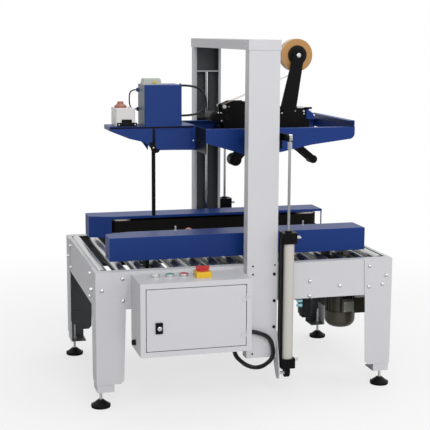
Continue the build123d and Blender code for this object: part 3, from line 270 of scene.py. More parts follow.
def rounded_block(low, high, bend=1.5, steps=3):
    """A ball of radius bend whose eight eighths are drawn apart to the block's corners.

    Each point is the block's middle, plus the inner corner of its own eighth, plus bend
    times (cos a cos b, sin a cos b, sin b). Both a and b repeat the value where two
    eighths meet, so the flat faces lie between equal directions.
    """
    low, high = np.asarray(low, float), np.asarray(high, float)
    inner = (high - low) / 2 - bend
    part = np.linspace(0, math.pi / 2, steps + 1)
    around = np.concatenate([part + quarter * math.pi / 2 for quarter in range(4)])
    rise = np.concatenate([part - math.pi / 2, part])
    sign_x = np.repeat([1, -1, -1, 1], steps + 1)
    sign_y = np.repeat([1, 1, -1, -1], steps + 1)
    sign_z = np.repeat([-1, 1], steps + 1)
    x = bend * np.cos(rise)[:, None] * np.cos(around) + inner[0] * sign_x
    y = bend * np.cos(rise)[:, None] * np.sin(around) + inner[1] * sign_y
    z = np.broadcast_to((bend * np.sin(rise) + inner[2] * sign_z)[:, None], x.shape)
    vertices = np.stack([x, y, z], axis=-1).reshape(-1, 3) + (low + high) / 2
    corners = np.arange(4) * (steps + 1)
    lid = (len(rise) - 1) * len(around) + corners
    faces = [grid_faces(len(rise), len(around), False, True), corners[None, ::-1], lid[None]]
    return vertices, np.concatenate(faces)


def plate(outline, y_low, y_high, bend=0.8):
    """An outline in x and z carried from y_low to y_high, with a small bevel at both faces.

    The rings are the outline drawn in by bend towards its middle, the outline itself a
    bend deeper, the same again at the other face, and the middle point closes both ends.
    """
    outline = np.asarray(outline, float)
    middle = outline.mean(axis=0)
    away = outline - middle
    drawn_in = outline - bend * away / np.linalg.norm(away, axis=1, keepdims=True)
    centre = np.repeat(middle[None], len(outline), axis=0)
    rings = np.stack([centre, drawn_in, outline, outline, drawn_in, centre])
    depth = np.array([y_low, y_low, y_low + bend, y_high - bend, y_high, y_high])
    y = np.broadcast_to(depth[:, None], rings.shape[:2])
    vertices = np.stack([rings[..., 0], y, rings[..., 1]], axis=-1).reshape(-1, 3)
    return vertices, grid_faces(len(rings), len(outline), False, True)


print("helpers ready")

# %% [markdown]
# Sprayed powder paint is never quite flat. It has a fine orange-peel skin, a
# colour that drifts a little from panel to panel, a thinner and lighter line along
# sharp bends, which on the blue also serves as a painted highlight along the folded
# edges, and dust that settles on what faces up. These effects are used by several
# paints, so each is a node group with named inputs, built once. The last group is a
# mask in the shape of a box, for a colour that differs within part of a piece: painted
# shade inside the legs, rails and columns, a painted sheen on one face of the junction
# box, and the black end of the head's end plates.

# %% Shader groups
def new_group(name, inputs, outputs):
    """An empty shader node group whose named inputs and outputs have the kinds given."""
    group = bpy.data.node_groups.new(name, "ShaderNodeTree")
    for way, sockets in (("INPUT", inputs), ("OUTPUT", outputs)):
        for label, kind in sockets.items():
            group.interface.new_socket(label, in_out=way, socket_type="NodeSocket" + kind)
    return group, group.nodes.new("NodeGroupInput"), group.nodes.new("NodeGroupOutput")


def add_node(tree, kind, settings=None, **values):
    """A shader node with its settings and its input values set by name."""
    node = tree.nodes.new("ShaderNode" + kind)
    for key, value in (settings or {}).items():
        setattr(node, key, value)
    for key, value in values.items():
        node.inputs[key.replace("_", " ")].default_value = value
    return node


def maths(tree, operation, kind="Math"):
    """One step of arithmetic, on numbers or with kind VectorMath on vectors."""
    return add_node(tree, kind, {"operation": operation})


def connect(tree, *wires):
    """Draw each wire (node, output, node, input) of a node tree."""
    for source, way_out, target, way_in in wires:
        tree.links.new(source.outputs[way_out], target.inputs[way_in])


def object_noise(tree, **values):
    """Noise that sticks to the object, because it reads the Object coordinates."""
    noise = add_node(tree, "TexNoise", **values)
    connect(tree, (add_node(tree, "TexCoord"), "Object", noise, "Vector"))
    return noise


def give_bump(group, given, result, noise, distance):
    """The noise leaves the group as a bumped normal and as a plain value."""
    bump = add_node(group, "Bump", Distance=distance)
    connect(group, (noise, "Fac", bump, "Height"), (given, "Depth", bump, "Strength"),
            (bump, "Normal", result, "Normal"), (noise, "Fac", result, "Value"))


def build_peel_group():
    """Fine noise in object space, given out as a bumped normal and as a plain value."""
    group, given, result = new_group(
        "peel", {"Size": "Float", "Depth": "Float"}, {"Normal": "Vector", "Value": "Float"})
    noise = object_noise(group, Detail=2.0, Roughness=0.5)
    connect(group, (given, "Size", noise, "Scale"))
    give_bump(group, given, result, noise, 0.0006)


def build_drift_group():
    """A colour that drifts softly between two values over the distance of a panel."""
    group, given, result = new_group(
        "drift", {"Light": "Color", "Dark": "Color", "Size": "Float"}, {"Color": "Color"})
    noise = object_noise(group, Detail=4.0, Roughness=0.6)
    mix = add_node(group, "Mix", {"data_type": "RGBA"})
    connect(group, (given, "Size", noise, "Scale"), (noise, "Fac", mix, "Factor"),
            (given, "Dark", mix, "A"), (given, "Light", mix, "B"),
            (mix, "Result", result, "Color"))


def build_edge_group():
    """A mask of sharp bends: where the rounded normal leaves the true one."""
    group, given, result = new_group("edge_line", {"Width": "Float"}, {"Mask": "Float"})
    rounded = add_node(group, "Bevel", {"samples": 4})
    true_normal = add_node(group, "NewGeometry")
    agreement = maths(group, "DOT_PRODUCT", "VectorMath")
    noise = object_noise(group, Scale=60.0, Detail=3.0)
    ramp = add_node(group, "MapRange", From_Min=0.995, From_Max=0.80)
    broken = add_node(group, "MapRange", From_Min=0.35, From_Max=0.65)
    both = maths(group, "MULTIPLY")
    connect(group, (given, "Width", rounded, "Radius"), (rounded, "Normal", agreement, 0),
            (true_normal, "Normal", agreement, 1), (agreement, "Value", ramp, "Value"),
            (noise, "Fac", broken, "Value"), (ramp, "Result", both, 0),
            (broken, "Result", both, 1), (both, "Value", result, "Mask"))


def build_dust_group():
    """A mask of dust: strong where the surface faces up, broken by a slow noise."""
    group, given, result = new_group("dust", {"Amount": "Float"}, {"Mask": "Float"})
    geometry = add_node(group, "NewGeometry")
    split = add_node(group, "SeparateXYZ")
    facing_up = add_node(group, "MapRange", From_Min=0.5, From_Max=1.0)
    noise = object_noise(group, Scale=14.0, Detail=5.0, Roughness=0.65)
    patches, settled = maths(group, "MULTIPLY"), maths(group, "MULTIPLY")
    connect(group, (geometry, "Normal", split, "Vector"), (split, "Z", facing_up, "Value"),
            (facing_up, "Result", patches, 0), (noise, "Fac", patches, 1),
            (patches, "Value", settled, 0), (given, "Amount", settled, 1),
            (settled, "Value", result, "Mask"))


def build_brushed_group():
    """Fine lines round or along a part: noise squeezed along one axis of the object."""
    group, given, result = new_group(
        "brushed", {"Stretch": "Vector", "Depth": "Float"}, {"Normal": "Vector", "Value": "Float"})
    where = add_node(group, "TexCoord")
    squeeze = maths(group, "MULTIPLY", "VectorMath")
    noise = add_node(group, "TexNoise", Scale=1.0, Detail=2.0, Roughness=0.6)
    connect(group, (where, "Object", squeeze, 0), (given, "Stretch", squeeze, 1),
            (squeeze, "Vector", noise, "Vector"))
    give_bump(group, given, result, noise, 0.0003)


def build_within_group():
    """A mask that is one inside a box: the largest of |point - centre| - half is below zero."""
    group, given, result = new_group(
        "within", {"Centre": "Vector", "Half": "Vector"}, {"Mask": "Float"})
    where = add_node(group, "TexCoord")
    apart = maths(group, "SUBTRACT", "VectorMath")
    size = maths(group, "ABSOLUTE", "VectorMath")
    beyond = maths(group, "SUBTRACT", "VectorMath")
    split = add_node(group, "SeparateXYZ")
    wider, widest = maths(group, "MAXIMUM"), maths(group, "MAXIMUM")
    inside = maths(group, "LESS_THAN")
    inside.inputs[1].default_value = 0.0
    connect(group, (where, "Object", apart, 0), (given, "Centre", apart, 1),
            (apart, "Vector", size, 0), (size, "Vector", beyond, 0), (given, "Half", beyond, 1),
            (beyond, "Vector", split, "Vector"), (split, "X", wider, 0), (split, "Y", wider, 1),
            (wider, "Value", widest, 0), (split, "Z", widest, 1),
            (widest, "Value", inside, 0), (inside, "Value", result, "Mask"))


for build in (build_peel_group, build_drift_group, build_edge_group, build_dust_group,
              build_brushed_group, build_within_group):
    build()
print("shader groups:", len(bpy.data.node_groups))

# %% [markdown]
# Two recipes cover most of the machine. Sprayed surfaces, painted sheet and
# moulded plastic, take a drifting colour, a lighter line at the bends that is wear
# and on the blue also a painted highlight, dust and a peel. Bare metals take fine
# lines in one direction that also vary the gloss. Everything that is the same all
# over is set on the shader's own sockets. Legs, rails and columns are painted darker
# inside, a painted shade for the shadow in their channels, and one face of the
# junction box is painted paler, a painted sheen for the light on that side.

# %% Material recipes
def new_material(name):
    """The node tree and the Principled BSDF of a new material."""
    material = bpy.data.materials.new(name)
    material.use_nodes = True
    return material.node_tree, material.node_tree.nodes["Principled BSDF"]


def use_group(tree, name, **values):
    """The shader group of that name as a node of a material, with its inputs set."""
    return add_node(tree, "Group", {"node_tree": bpy.data.node_groups[name]}, **values)


def mixed(tree, mask, below, above):
    """A colour mix: below, or above where the mask is one."""
    mix = add_node(tree, "Mix", {"data_type": "RGBA"})
    tree.links.new(mask, mix.inputs["Factor"])
    for source, slot in ((below, "A"), (above, "B")):
        if isinstance(source, tuple):
            mix.inputs[slot].default_value = source
        else:
            tree.links.new(source, mix.inputs[slot])
    return mix.outputs["Result"]


def shades(colour, spread):
    """A lighter and a darker tone of a colour, both opaque."""
    light = tuple(min(1.0, c * (1 + spread)) for c in colour) + (1.0,)
    return light, tuple(c * (1 - spread) for c in colour) + (1.0,)


def vary_gloss(tree, shader, skin, low, high):
    """The skin's value sets a roughness between low and high, its normal bends the light."""
    gloss = add_node(tree, "MapRange", To_Min=low, To_Max=high)
    connect(tree, (skin, "Value", gloss, "Value"), (gloss, "Result", shader, "Roughness"),
            (skin, "Normal", shader, "Normal"))


def sprayed(name, colour, rough, spread, edge_wear_and_sheen=None, dust=0.15, size=420.0, depth=0.12,
            specular=0.5, inside=(), alpha=1.0):
    """Painted or moulded skin: drift, edge wear that on the blue is also a painted highlight,
    dust, a fine peel, and boxes of another colour, such as painted shade and sheen.
    """
    tree, shader = new_material(name)
    light, dark = shades(colour, spread)
    colour_now = use_group(tree, "drift", Light=light, Dark=dark, Size=2.5).outputs["Color"]
    if edge_wear_and_sheen:
        edges = use_group(tree, "edge_line", Width=0.0016)
        colour_now = mixed(tree, edges.outputs["Mask"], colour_now, edge_wear_and_sheen + (1.0,))
    if dust:
        settled = use_group(tree, "dust", Amount=dust)
        colour_now = mixed(tree, settled.outputs["Mask"], colour_now, dust_colour)
    for centre, half, inner_colour in inside:
        within = use_group(tree, "within", Centre=centre, Half=half)
        colour_now = mixed(tree, within.outputs["Mask"], colour_now, inner_colour + (1.0,))
    tree.links.new(colour_now, shader.inputs["Base Color"])
    vary_gloss(tree, shader, use_group(tree, "peel", Size=size, Depth=depth),
               rough - 0.06, rough + 0.08)
    shader.inputs["Specular IOR Level"].default_value = specular
    shader.inputs["Alpha"].default_value = alpha


def bare_metal(name, colour, rough, stretch, depth, spread, bare=1.0):
    """Bare or plated metal whose fine lines run across the squeezed axis."""
    tree, shader = new_material(name)
    shader.inputs["Metallic"].default_value = bare
    light, dark = shades(colour, spread)
    lines = use_group(tree, "brushed", Stretch=stretch, Depth=depth)
    tree.links.new(mixed(tree, lines.outputs["Value"], dark, light), shader.inputs["Base Color"])
    vary_gloss(tree, shader, lines, rough - 0.08, rough + 0.12)


dust_colour = (0.42, 0.40, 0.37, 1.0)
grey, worn_grey = (0.60, 0.60, 0.625), (0.72, 0.72, 0.73)
# The lighter blue at the bends is partly wear and partly a painted highlight along the folded
# edges.
blue, wear_and_highlight_blue = (0.006, 0.034, 0.185), (0.03, 0.08, 0.28)
black, worn_black = (0.0025, 0.0025, 0.003), (0.02, 0.02, 0.02)
# A darker grey as painted shade inside legs, rails and columns, and a paler blue as painted sheen
# on the junction box's left face.
painted_shade_grey, painted_sheen_blue = (0.07, 0.077, 0.082), (0.13, 0.17, 0.21)


def grey_coat(name, inside=()):
    """The table's grey, with boxes (centre, half size, colour) of another tone, used here as
    painted shade.
    """
    sprayed(name, grey, 0.42, 0.03, edge_wear_and_sheen=worn_grey, dust=0.06, inside=inside)


def blue_coat(name, edge_wear_and_sheen=None, inside=()):
    """The head's and the drives' blue, which gives back little light."""
    sprayed(name, blue, 0.40, 0.06, edge_wear_and_sheen=edge_wear_and_sheen, dust=0.05, specular=0.22, inside=inside)


def plastic(name, colour, rough, spread, depth, dust=0.15):
    """Moulded plastic with the fine texture of its mould."""
    sprayed(name, colour, rough, spread, size=700.0, depth=depth, dust=dust)


# Half lengths and half widths that end inside the outer faces of the folded sheet.
# Within these boxes the grey is a darker painted shade, standing in for the shadow
# inside the legs, rails and columns.
in_legs, in_feet, in_rails, in_column = (
    (0.6565, 0.4445), (0.6520, 0.44225), (0.6535, 0.4420), (0.0633, 0.0237))
inner_top, inner_foot = rail_top - 1 * MM, 176 * MM
inner_middle, inner_height = (inner_top + inner_foot) / 2, (inner_top - inner_foot) / 2
column_x, column_y = 46, 458.4
grey_coat("leg_paint", [
    ((0, table_y, inner_middle), (*in_legs, inner_height), painted_shade_grey),
    (place(0, 2.25, inner_foot / MM / 2), (*in_feet, inner_foot / 2), painted_shade_grey),
])
grey_coat("rail_paint", [((0, table_y, inner_middle), (*in_rails, inner_height), painted_shade_grey)])
# The columns' channels get the same painted shade inside, low down and at the top.
for side, y in (("front", -column_y), ("back", column_y)):
    grey_coat(f"column_paint_{side}", [
        (place(column_x, y, z), (*in_column, half_height), painted_shade_grey)
        for z, half_height in ((781.8, 0.5917), (1437.0, 0.0565))
    ])
grey_coat("grey_paint")
# On the blue paint, the lighter line at the bends is partly wear and partly a painted highlight.
blue_coat("blue_paint", wear_and_highlight_blue)
# The junction box's left face is a paler blue, a painted sheen standing in for the light on that
# side.
blue_coat("junction_paint", inside=[
    (place(junction_left, 6, 1245), (0.0008, 0.085, 0.1), painted_sheen_blue),
])
blue_coat("end_plate_paint", inside=[(place(-300, 0, 1100), (0.3, 0.4, 0.3), black)])
sprayed("black_paint", black, 0.38, 0.15, edge_wear_and_sheen=worn_black, dust=0.015, specular=0.1)
sprayed("motor_paint", (0.050, 0.042, 0.030), 0.30, 0.2, edge_wear_and_sheen=(0.14, 0.12, 0.09), dust=0.08)
sprayed("black_plastic", (0.004, 0.004, 0.0045), 0.5, 0.1, size=900.0, depth=0.2, dust=0.03,
        specular=0.15)
plastic("white_plastic", (0.70, 0.69, 0.68), 0.35, 0.03, 0.05)
plastic("pale_plastic", (0.44, 0.48, 0.42), 0.45, 0.08, 0.1)
plastic("yellow_plastic", (0.80, 0.50, 0.02), 0.35, 0.05, 0.06)
plastic("red_plastic", (0.50, 0.03, 0.02), 0.30, 0.06, 0.05, 0.05)
plastic("faded_red", (0.40, 0.15, 0.11), 0.38, 0.08, 0.05, 0.05)
plastic("green_plastic", (0.04, 0.27, 0.24), 0.30, 0.06, 0.05, 0.05)
plastic("teal_plastic", (0.30, 0.58, 0.68), 0.30, 0.06, 0.05, 0.0)
plastic("cover_green", (0.15, 0.16, 0.125), 0.45, 0.08, 0.08)
sprayed("cable_rubber", (0.006, 0.006, 0.007), 0.42, 0.15, size=900.0, depth=0.2, dust=0.03,
        specular=0.3)
sprayed("belt_rubber", (0.004, 0.0034, 0.003), 0.62, 0.2, size=1500.0, depth=0.5, dust=0.015,
        specular=0.1)
sprayed("peach_rubber", (0.62, 0.25, 0.12), 0.5, 0.08, size=900.0, depth=0.2)
sprayed("clear_film", (0.60, 0.54, 0.44), 0.18, 0.10, size=60.0, depth=0.1, dust=0.0, alpha=0.4)
bare_metal("roller_zinc", (0.50, 0.51, 0.50), 0.26, (6.0, 900.0, 6.0), 0.18, 0.12)
bare_metal("rod_steel", (0.42, 0.43, 0.44), 0.16, (900.0, 900.0, 4.0), 0.03, 0.06)
bare_metal("shaft_steel", (0.62, 0.62, 0.62), 0.2, (900.0, 4.0, 900.0), 0.05, 0.06)
bare_metal("tube_alloy", (0.56, 0.53, 0.49), 0.34, (700.0, 700.0, 3.0), 0.12, 0.06, 0.15)
bare_metal("screw_steel", (0.60, 0.60, 0.60), 0.26, (300.0, 300.0, 300.0), 0.1, 0.15)
bare_metal("brass", (0.62, 0.45, 0.20), 0.28, (300.0, 300.0, 300.0), 0.1, 0.1)
print("materials:", len(bpy.data.materials))

# %% [markdown]
# The frame's own pieces keep their shape and only change their skin. A table of
# which finish goes on which piece is easiest to read when it is grouped by finish,
# as a paint shop would sort them. A name that ends in _ stands for all the pieces
# whose names begin with it. The tape roll and the cables have their turn later.

# %% Dress the frame's pieces
finishes = {
    "grey_paint": ["tape_well", "top_crossbar", "cylinder_brackets", "control_"],
    "leg_paint": ["leg_"],
    "rail_paint": ["side_rail_", "end_rail_"],
    "column_paint_front": ["column_front"],
    "column_paint_back": ["column_back"],
    "blue_paint": ["drive_housing_", "head_side_plates", "infeed_arm"],
    "junction_paint": ["junction_box"],
    "end_plate_paint": ["head_end_plates"],
    "black_paint": [
        "cylinder_caps", "slide_bracket_", "lower_tape_unit", "head_cross_bars",
        "head_carriages", "tape_unit", "roller_arms", "roll_arm", "sensing_lever", "door_lock",
    ],
    "motor_paint": ["drive_motor_"],
    "black_plastic": ["foot_pads", "air_valve", "tape_hub", "guide_rollers"],
    "white_plastic": ["stop_box", "push_buttons"],
    "pale_plastic": ["junction_hood"],
    "yellow_plastic": ["switch_box"],
    "red_plastic": ["switch_knob"],
    "faded_red": ["emergency_button"],
    "belt_rubber": ["drive_belt_"],
    "peach_rubber": ["lower_rollers"],
    "roller_zinc": ["conveyor_rollers"],
    "rod_steel": ["guide_rods", "piston_rods"],
    "shaft_steel": ["slide_shafts"],
    "tube_alloy": ["cylinder_tubes", "drive_pulleys_"],
    "screw_steel": ["foot_stems"],
}
dressed = set()
for material, beginnings in finishes.items():
    for name in [name for name in nodes if name.startswith(tuple(beginnings))]:
        nodes[name].data.materials.clear()
        nodes[name].data.materials.append(bpy.data.materials[material])
        dressed.add(name)
print("pieces still to dress:", sorted(set(nodes) - dressed))

# %% [markdown]
# A roll of packing tape is amber film on a paper core. From the side it shows its
# windings as very fine rings round its own axis, and the outer turn is glossy and
# deep in colour. The rings come from the distance to the roll's axis, which a
# Mapping node moves to the origin of the pattern. A single layer of the same film
# is almost clear, so the web has a pale recipe of its own.

# %% Tape
roll_low, roll_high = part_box("tape_roll")
roll_middle = (roll_low + roll_high) / 2


tree, shader = new_material("amber_tape")
where = add_node(tree, "TexCoord")
centred = add_node(tree, "Mapping", Location=tuple(-v for v in roll_middle))
flat = maths(tree, "MULTIPLY", "VectorMath")
flat.inputs[1].default_value = (1.0, 0.0, 1.0)
distance = maths(tree, "LENGTH", "VectorMath")
rings = add_node(tree, "TexNoise", {"noise_dimensions": "1D"}, Scale=1600.0, Detail=3.0)
connect(tree, (where, "Object", centred, "Vector"), (centred, "Vector", flat, 0),
        (flat, "Vector", distance, 0), (distance, "Value", rings, "W"))
light, dark = (0.58, 0.31, 0.09, 1.0), (0.36, 0.16, 0.035, 1.0)
tree.links.new(mixed(tree, rings.outputs["Fac"], dark, light), shader.inputs["Base Color"])
shader.inputs["Roughness"].default_value = 0.28
shader.inputs["Coat Weight"].default_value = 0.4
nodes["tape_roll"].data.materials.clear()
nodes["tape_roll"].data.materials.append(bpy.data.materials["amber_tape"])
print("tape roll centre", [round(v, 3) for v in roll_middle])

# %% [markdown]
# The thick supply bundle is three rubber-covered cables twisted about each other.
# Its surface is swept along the smooth line: the outline is the outside of three
# touching circles, and it turns slowly as it goes. The two thin cables are plain
# and stay curves with a round bevel. Each one ends in a black gland at its box.

# %% Cables
def three_strand_tube(points, radius, turns, around=48):
    """The outside of three touching circles, turned slowly while carried along a line.

    With strand radius q and strand centres at distance d from the line, the outline at an
    angle a from the nearest centre is d cos a + sqrt(q^2 - d^2 sin^2 a). The line's side
    is the cross product of its direction with Y, and its other side is the cross product
    of that side with the direction. A ring of radius zero closes each end.
    """
    strand = radius / (1 + 2 / math.sqrt(3))
    centre_distance = strand * 2 / math.sqrt(3)
    ahead_of = np.gradient(points, axis=0)
    ahead_of /= np.linalg.norm(ahead_of, axis=1, keepdims=True)
    side = np.cross(ahead_of, np.array([0.0, 1.0, 0.0]))
    side /= np.linalg.norm(side, axis=1, keepdims=True)
    other = np.cross(side, ahead_of)
    angle = np.linspace(0, 2 * math.pi, around, endpoint=False)
    part = np.linspace(0, turns * 2 * math.pi, len(points))[:, None]
    third = 2 * math.pi / 3
    from_centre = (angle[None] - part + third / 2) % third - third / 2
    reach = np.maximum(strand**2 - (centre_distance * np.sin(from_centre)) ** 2, 0)
    outline = centre_distance * np.cos(from_centre) + np.sqrt(reach)
    rings = (
        points[:, None]
        + outline[..., None] * np.cos(angle)[None, :, None] * side[:, None]
        + outline[..., None] * np.sin(angle)[None, :, None] * other[:, None]
    )
    ends = np.repeat(points[[0, -1], None], around, axis=1)
    rings = np.concatenate([ends[:1], rings, ends[1:]])
    return rings.reshape(-1, 3), grid_faces(len(rings), around, False, True)


def round_cable(cable, thickness, node):
    """A line becomes a round rubber cable on the head, in the place of a plain CAD one."""
    length = line_length(line_points(cable))
    cable.data.bevel_depth = thickness / 2
    cable.data.bevel_resolution = 5
    cable.data.use_fill_caps = True
    cable.data.materials.append(bpy.data.materials["cable_rubber"])
    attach(cable, "head")
    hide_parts(node)
    print(cable.name, round(length, 3), "m long")


thickness, twists = 20 * MM, 1.4
bundle_shape = three_strand_tube(supply_points, thickness / 2, twists)
supply_bundle = finish_mesh("supply_bundle", *bundle_shape, "cable_rubber", "frame", 50)
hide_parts("cable_loop")
round_cable(signal_cable, 10 * MM, "cable_right")
round_cable(stop_lead, 6 * MM, "cable_left")

# %% [markdown]
# Screws hold the sheet metal together. Each kind is one small profile turned about
# its own axis: a socket screw has a round head with a hole, a button head is a low
# dome, and a hexagon head is the same turning with only six steps, on a washer.

# %% Kinds of screw
def socket_screw(radius, height):
    """A straight head with a rounded rim and a hole half as wide as the head."""
    hole = radius * 0.52
    profile = [(0, -1), (radius, -1), (radius, height * 0.8), (radius * 0.9, height),
               (hole * 1.1, height), (hole, height * 0.9), (hole, height * 0.35),
               (0, height * 0.3)]
    return turned(profile, 20)


def button_screw(radius, height):
    """A low dome: radius times the cosine and height times the sine of the same angle."""
    rise = np.linspace(0, math.pi / 2, 6)
    dome = np.stack([radius * np.cos(rise), height * np.sin(rise)], axis=1)
    dome[-1, 0] = 0
    return turned(np.concatenate([[(0, -1), (radius, -1)], dome]), 18)


def hexagon_screw(radius, height):
    """Six steps of turning make the head; twenty make the washer under it."""
    wide = radius * 1.25
    washer = turned([(0, -1), (wide, -1), (wide, 1.2), (0, 1.2)], 20)
    head = turned([(0, 0), (radius, 0), (radius, height * 0.85), (radius * 0.86, height),
                   (0, height)], 6)
    return joined(washer, head)


front, back, left, right, up = (0, -1, 0), (0, 1, 0), (-1, 0, 0), (1, 0, 0), (0, 0, 1)


def on_both_sides(spots, y):
    """The same (x, z) spots on the front face at -y and on the back face at y."""
    front_places = [((x, -y, z), front) for x, z in spots]
    return front_places + [((x, y, z), back) for x, z in spots]


def fitting(name, shape, material, body="frame"):
    """A shape in the table's millimetres becomes a piece of the machine that rides a body."""
    vertices, faces = shape
    piece = finish_mesh(name, vertices * MM + np.array([0, table_y, 0]), faces, material, body)
    return piece


print("socket screw faces", len(socket_screw(6, 4)[1]))

# %% [markdown]
# The fasteners follow the photograph: black socket screws where the columns clamp
# the rails, bright domed ones on the legs and rails, and two screws on each end of
# the crossbar. Those on the far side are taken to match the near side.

# %% Fasteners of the table
sheet = 4
column_face, leg_face, end_face = 486, half_width / MM, half_length / MM
rail_face, end_rail_face = leg_face - sheet, end_face - sheet
column_spots = [(99, 554), (100, 438), (100, 323)]
small_spots = [(5, 209), (5, 556), (4, 592), (101, 593)]
leg_spots = [(-547, 559), (-545, 466), (-633, 513), (553, 557), (551, 465), (633, 512), (615, 473)]
rail_spots = [(277, 503), (416, 476), (276, 438)]
for name, screw, spots, face, material in (
    ("column_screws", socket_screw(6.5, 5), column_spots, column_face, "black_paint"),
    ("small_column_screws", socket_screw(3.6, 2.5), small_spots, column_face, "black_paint"),
    ("leg_screws", button_screw(9.0, 6.5), leg_spots, leg_face, "screw_steel"),
    ("rail_screws", button_screw(9.0, 6.5), rail_spots, rail_face, "screw_steel"),
):
    fitting(name, stamped(screw, on_both_sides(spots, face)), material)
end_spots = [(358, 502, end_face), (308, 560, end_rail_face), (299, 458, end_rail_face)]
end_places = [
    ((end * x, side * y, z), direction)
    for end, direction in ((-1, left), (1, right)) for y, z, x in end_spots for side in (-1, 1)
]
fitting("end_screws", stamped(hexagon_screw(7, 11), end_places), "screw_steel")
crossbar_low, crossbar_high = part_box("top_crossbar")
crossbar_places = [
    ((x / MM, y, z), direction)
    for x, direction in ((crossbar_low.x, left), (crossbar_high.x, right))
    for y in (-443, 447) for z in (1506, 1524)
]
fitting("crossbar_screws", stamped(button_screw(4.0, 2.6), crossbar_places), "screw_steel")
print("end face at", round(end_face), "crossbar from", round(crossbar_low.x / MM))

# %% [markdown]
# The control box carries round push buttons with bright rims and coloured caps, a
# turning key lock on its door, and a black cable gland. A cap is a low lens turned
# about the button's axis; a key slot is a thin dark bar laid into the lock's face,
# painted shade that stands in for the dark inside of the slot.

# %% Buttons, lock and glands
button_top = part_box("push_buttons")[1].z / MM
button_y, button_seat, cap_radius = -525, button_top - 3, 14.2
buttons = {"white": -426, "green": -364, "red": -305}
rim = turned([(14.6, -9), (19.0, -9), (19.0, 0.5), (17.8, 2.2), (15.6, 2.6), (14.4, 1.4),
              (14.6, -9)], 32)
rim_places = [((x, button_y, button_seat), up) for x in buttons.values()]
fitting("button_rims", stamped(rim, rim_places), "screw_steel")
cap_rise = np.linspace(0, math.pi / 2, 8)
cap_profile = np.stack([cap_radius * np.cos(cap_rise), 2.0 + 4.0 * np.sin(cap_rise)], axis=1)
cap_profile[-1, 0] = 0
cap = turned(np.concatenate([[(0, -3), (cap_radius, -3)], cap_profile]), 32)
for colour, x in buttons.items():
    fitting(f"{colour}_button_cap", moved(cap, x, button_y, button_seat), f"{colour}_plastic")

lock_low, lock_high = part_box("door_lock")
lock_x, lock_z = (lock_low.x + lock_high.x) / 2 / MM, (lock_low.z + lock_high.z) / 2 / MM
lock_face = (lock_low.y - table_y) / MM
lock_profile = [(0, -2), (9, -2), (9, 1.5), (8, 2.5), (6.5, 2.8), (0, 2.8)]
lock_barrel = stamped(turned(lock_profile, 32), [((lock_x, lock_face, lock_z), front)])
fitting("lock_barrel", lock_barrel, "screw_steel", "door")
# The key slot's black bar is painted shade for the inside of the slot.
key_slot = rounded_block((lock_x - 1.1, lock_face - 3.3, lock_z - 4.5),
                         (lock_x + 1.1, lock_face - 2.2, lock_z + 4.5), 0.4)
fitting("key_slot", key_slot, "black_paint", "door")


def screwed_in(radius, length, sides, profile):
    """A root of some sides at the wall, and a body in shares of its radius and length."""
    wide, top = radius * 1.05, length * 0.3
    root = turned([(0, -2), (wide, -2), (wide, top), (0, top)], sides)
    return joined(root, turned(profile * np.array([radius, length]), 24))


gland = screwed_in(12, 15, 12, [(0, 0.3), (0.96, 0.3), (0.96, 0.75), (0.7, 1), (0, 1)])
side_gland = stamped(gland, [((-510, -528, 309), left)])
fitting("box_side_gland", side_gland, "black_plastic")
print("lock at", round(lock_x), round(lock_z), "button tops", round(button_top))

# %% [markdown]
# The emergency button's box sits on a small black bracket at the arm's tip. A
# black strip along the arm's upper edge and another at the cover's end are painted
# shade: they stand in for the shadow under the arm's top plate and in the gap beside
# the cover. A blue cover plate lies over the web, and a short black bracket holds the
# sensing lever. The brackets and the cover are bent sheet, so all of them are blocks
# and plates with slightly rounded edges.

# %% Infeed arm trim
arm_front = -70


def strip(low_x, high_x, low_z, high_z):
    """A black strip 1.5 mm thick on the arm's front face, used as painted shade."""
    return rounded_block((low_x, arm_front - 1.5, low_z), (high_x, arm_front, high_z), 0.6)


cover = plate([(-163, 1047), (-163, 1137), (-327, 1137), (-327, 1066), (-322, 1055),
               (-311, 1048)], arm_front - 8, arm_front, 2.5)
lever_bracket = plate([(-352, 1082), (-345, 1048), (-330, 1034), (-312, 1038), (-303, 1052),
                       (-300, 1082)], arm_front - 6, arm_front, 1.0)
lever_pin = stamped(button_screw(5, 4), [((-335, arm_front - 6, 1059), front)])
arm_screws = stamped(button_screw(4.5, 3), [((-151, arm_front, 1087), front)])
foot = rounded_block((-495, -66, 1155), (-406, -62, 1171), 0.8)
riser = rounded_block((-474, -66, 1170), (-429, -62, 1185), 0.8)
bracket_screws = stamped(socket_screw(3, 2), [((x, -66, 1163), front) for x in (-486, -415)])
hood_low, hood_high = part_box("junction_hood")
hood_front, hood_top = (hood_low.y - table_y) / MM, hood_high.z / MM
hood_tab = rounded_block((-326, hood_front - 2.5, hood_top - 22),
                         (-312, hood_front, hood_top - 9), 0.8)
for name, shape, material in (
    # The next two black strips are painted shade: the shadow under the arm's top plate and in the
    # gap beside the cover.
    ("arm_top_shade_strip", strip(-530, -150, arm_top - 7, arm_top), "black_paint"),
    ("arm_cover", cover, "blue_paint"),
    ("arm_gap_shade_strip", strip(-338, -328, 1062, 1144), "black_paint"),
    ("lever_bracket", lever_bracket, "black_paint"),
    ("lever_pin", lever_pin, "brass"),
    ("arm_screws", arm_screws, "screw_steel"),
    ("stop_box_bracket", joined(foot, riser), "black_paint"),
    ("stop_bracket_screws", bracket_screws, "screw_steel"),
    ("hood_tab", hood_tab, "yellow_plastic"),
):
    fitting(name, shape, material, "head")
print("arm trim fitted, hood front at", round(hood_front))

# %% [markdown]
# The taping head is a cartridge of black plates. A dark roller guides the web at
# its nose, small pale screws hold the plates, and a blue gusset stiffens the tail.
# The tape itself runs as a thin straight film from the upper guide roller to the
# underside of the roll, where it meets the roll's circle without a kink.

# %% Taping head dressing
plate_face, unit_face, nose_face = 40, 41, 50


def head_screws(screw, height, spots):
    """Screws of several radii, each (x, z, radius, face) on the front and on the back."""
    return joined(*[stamped(screw(radius, height), on_both_sides([(x, z)], face))
                    for x, z, radius, face in spots])


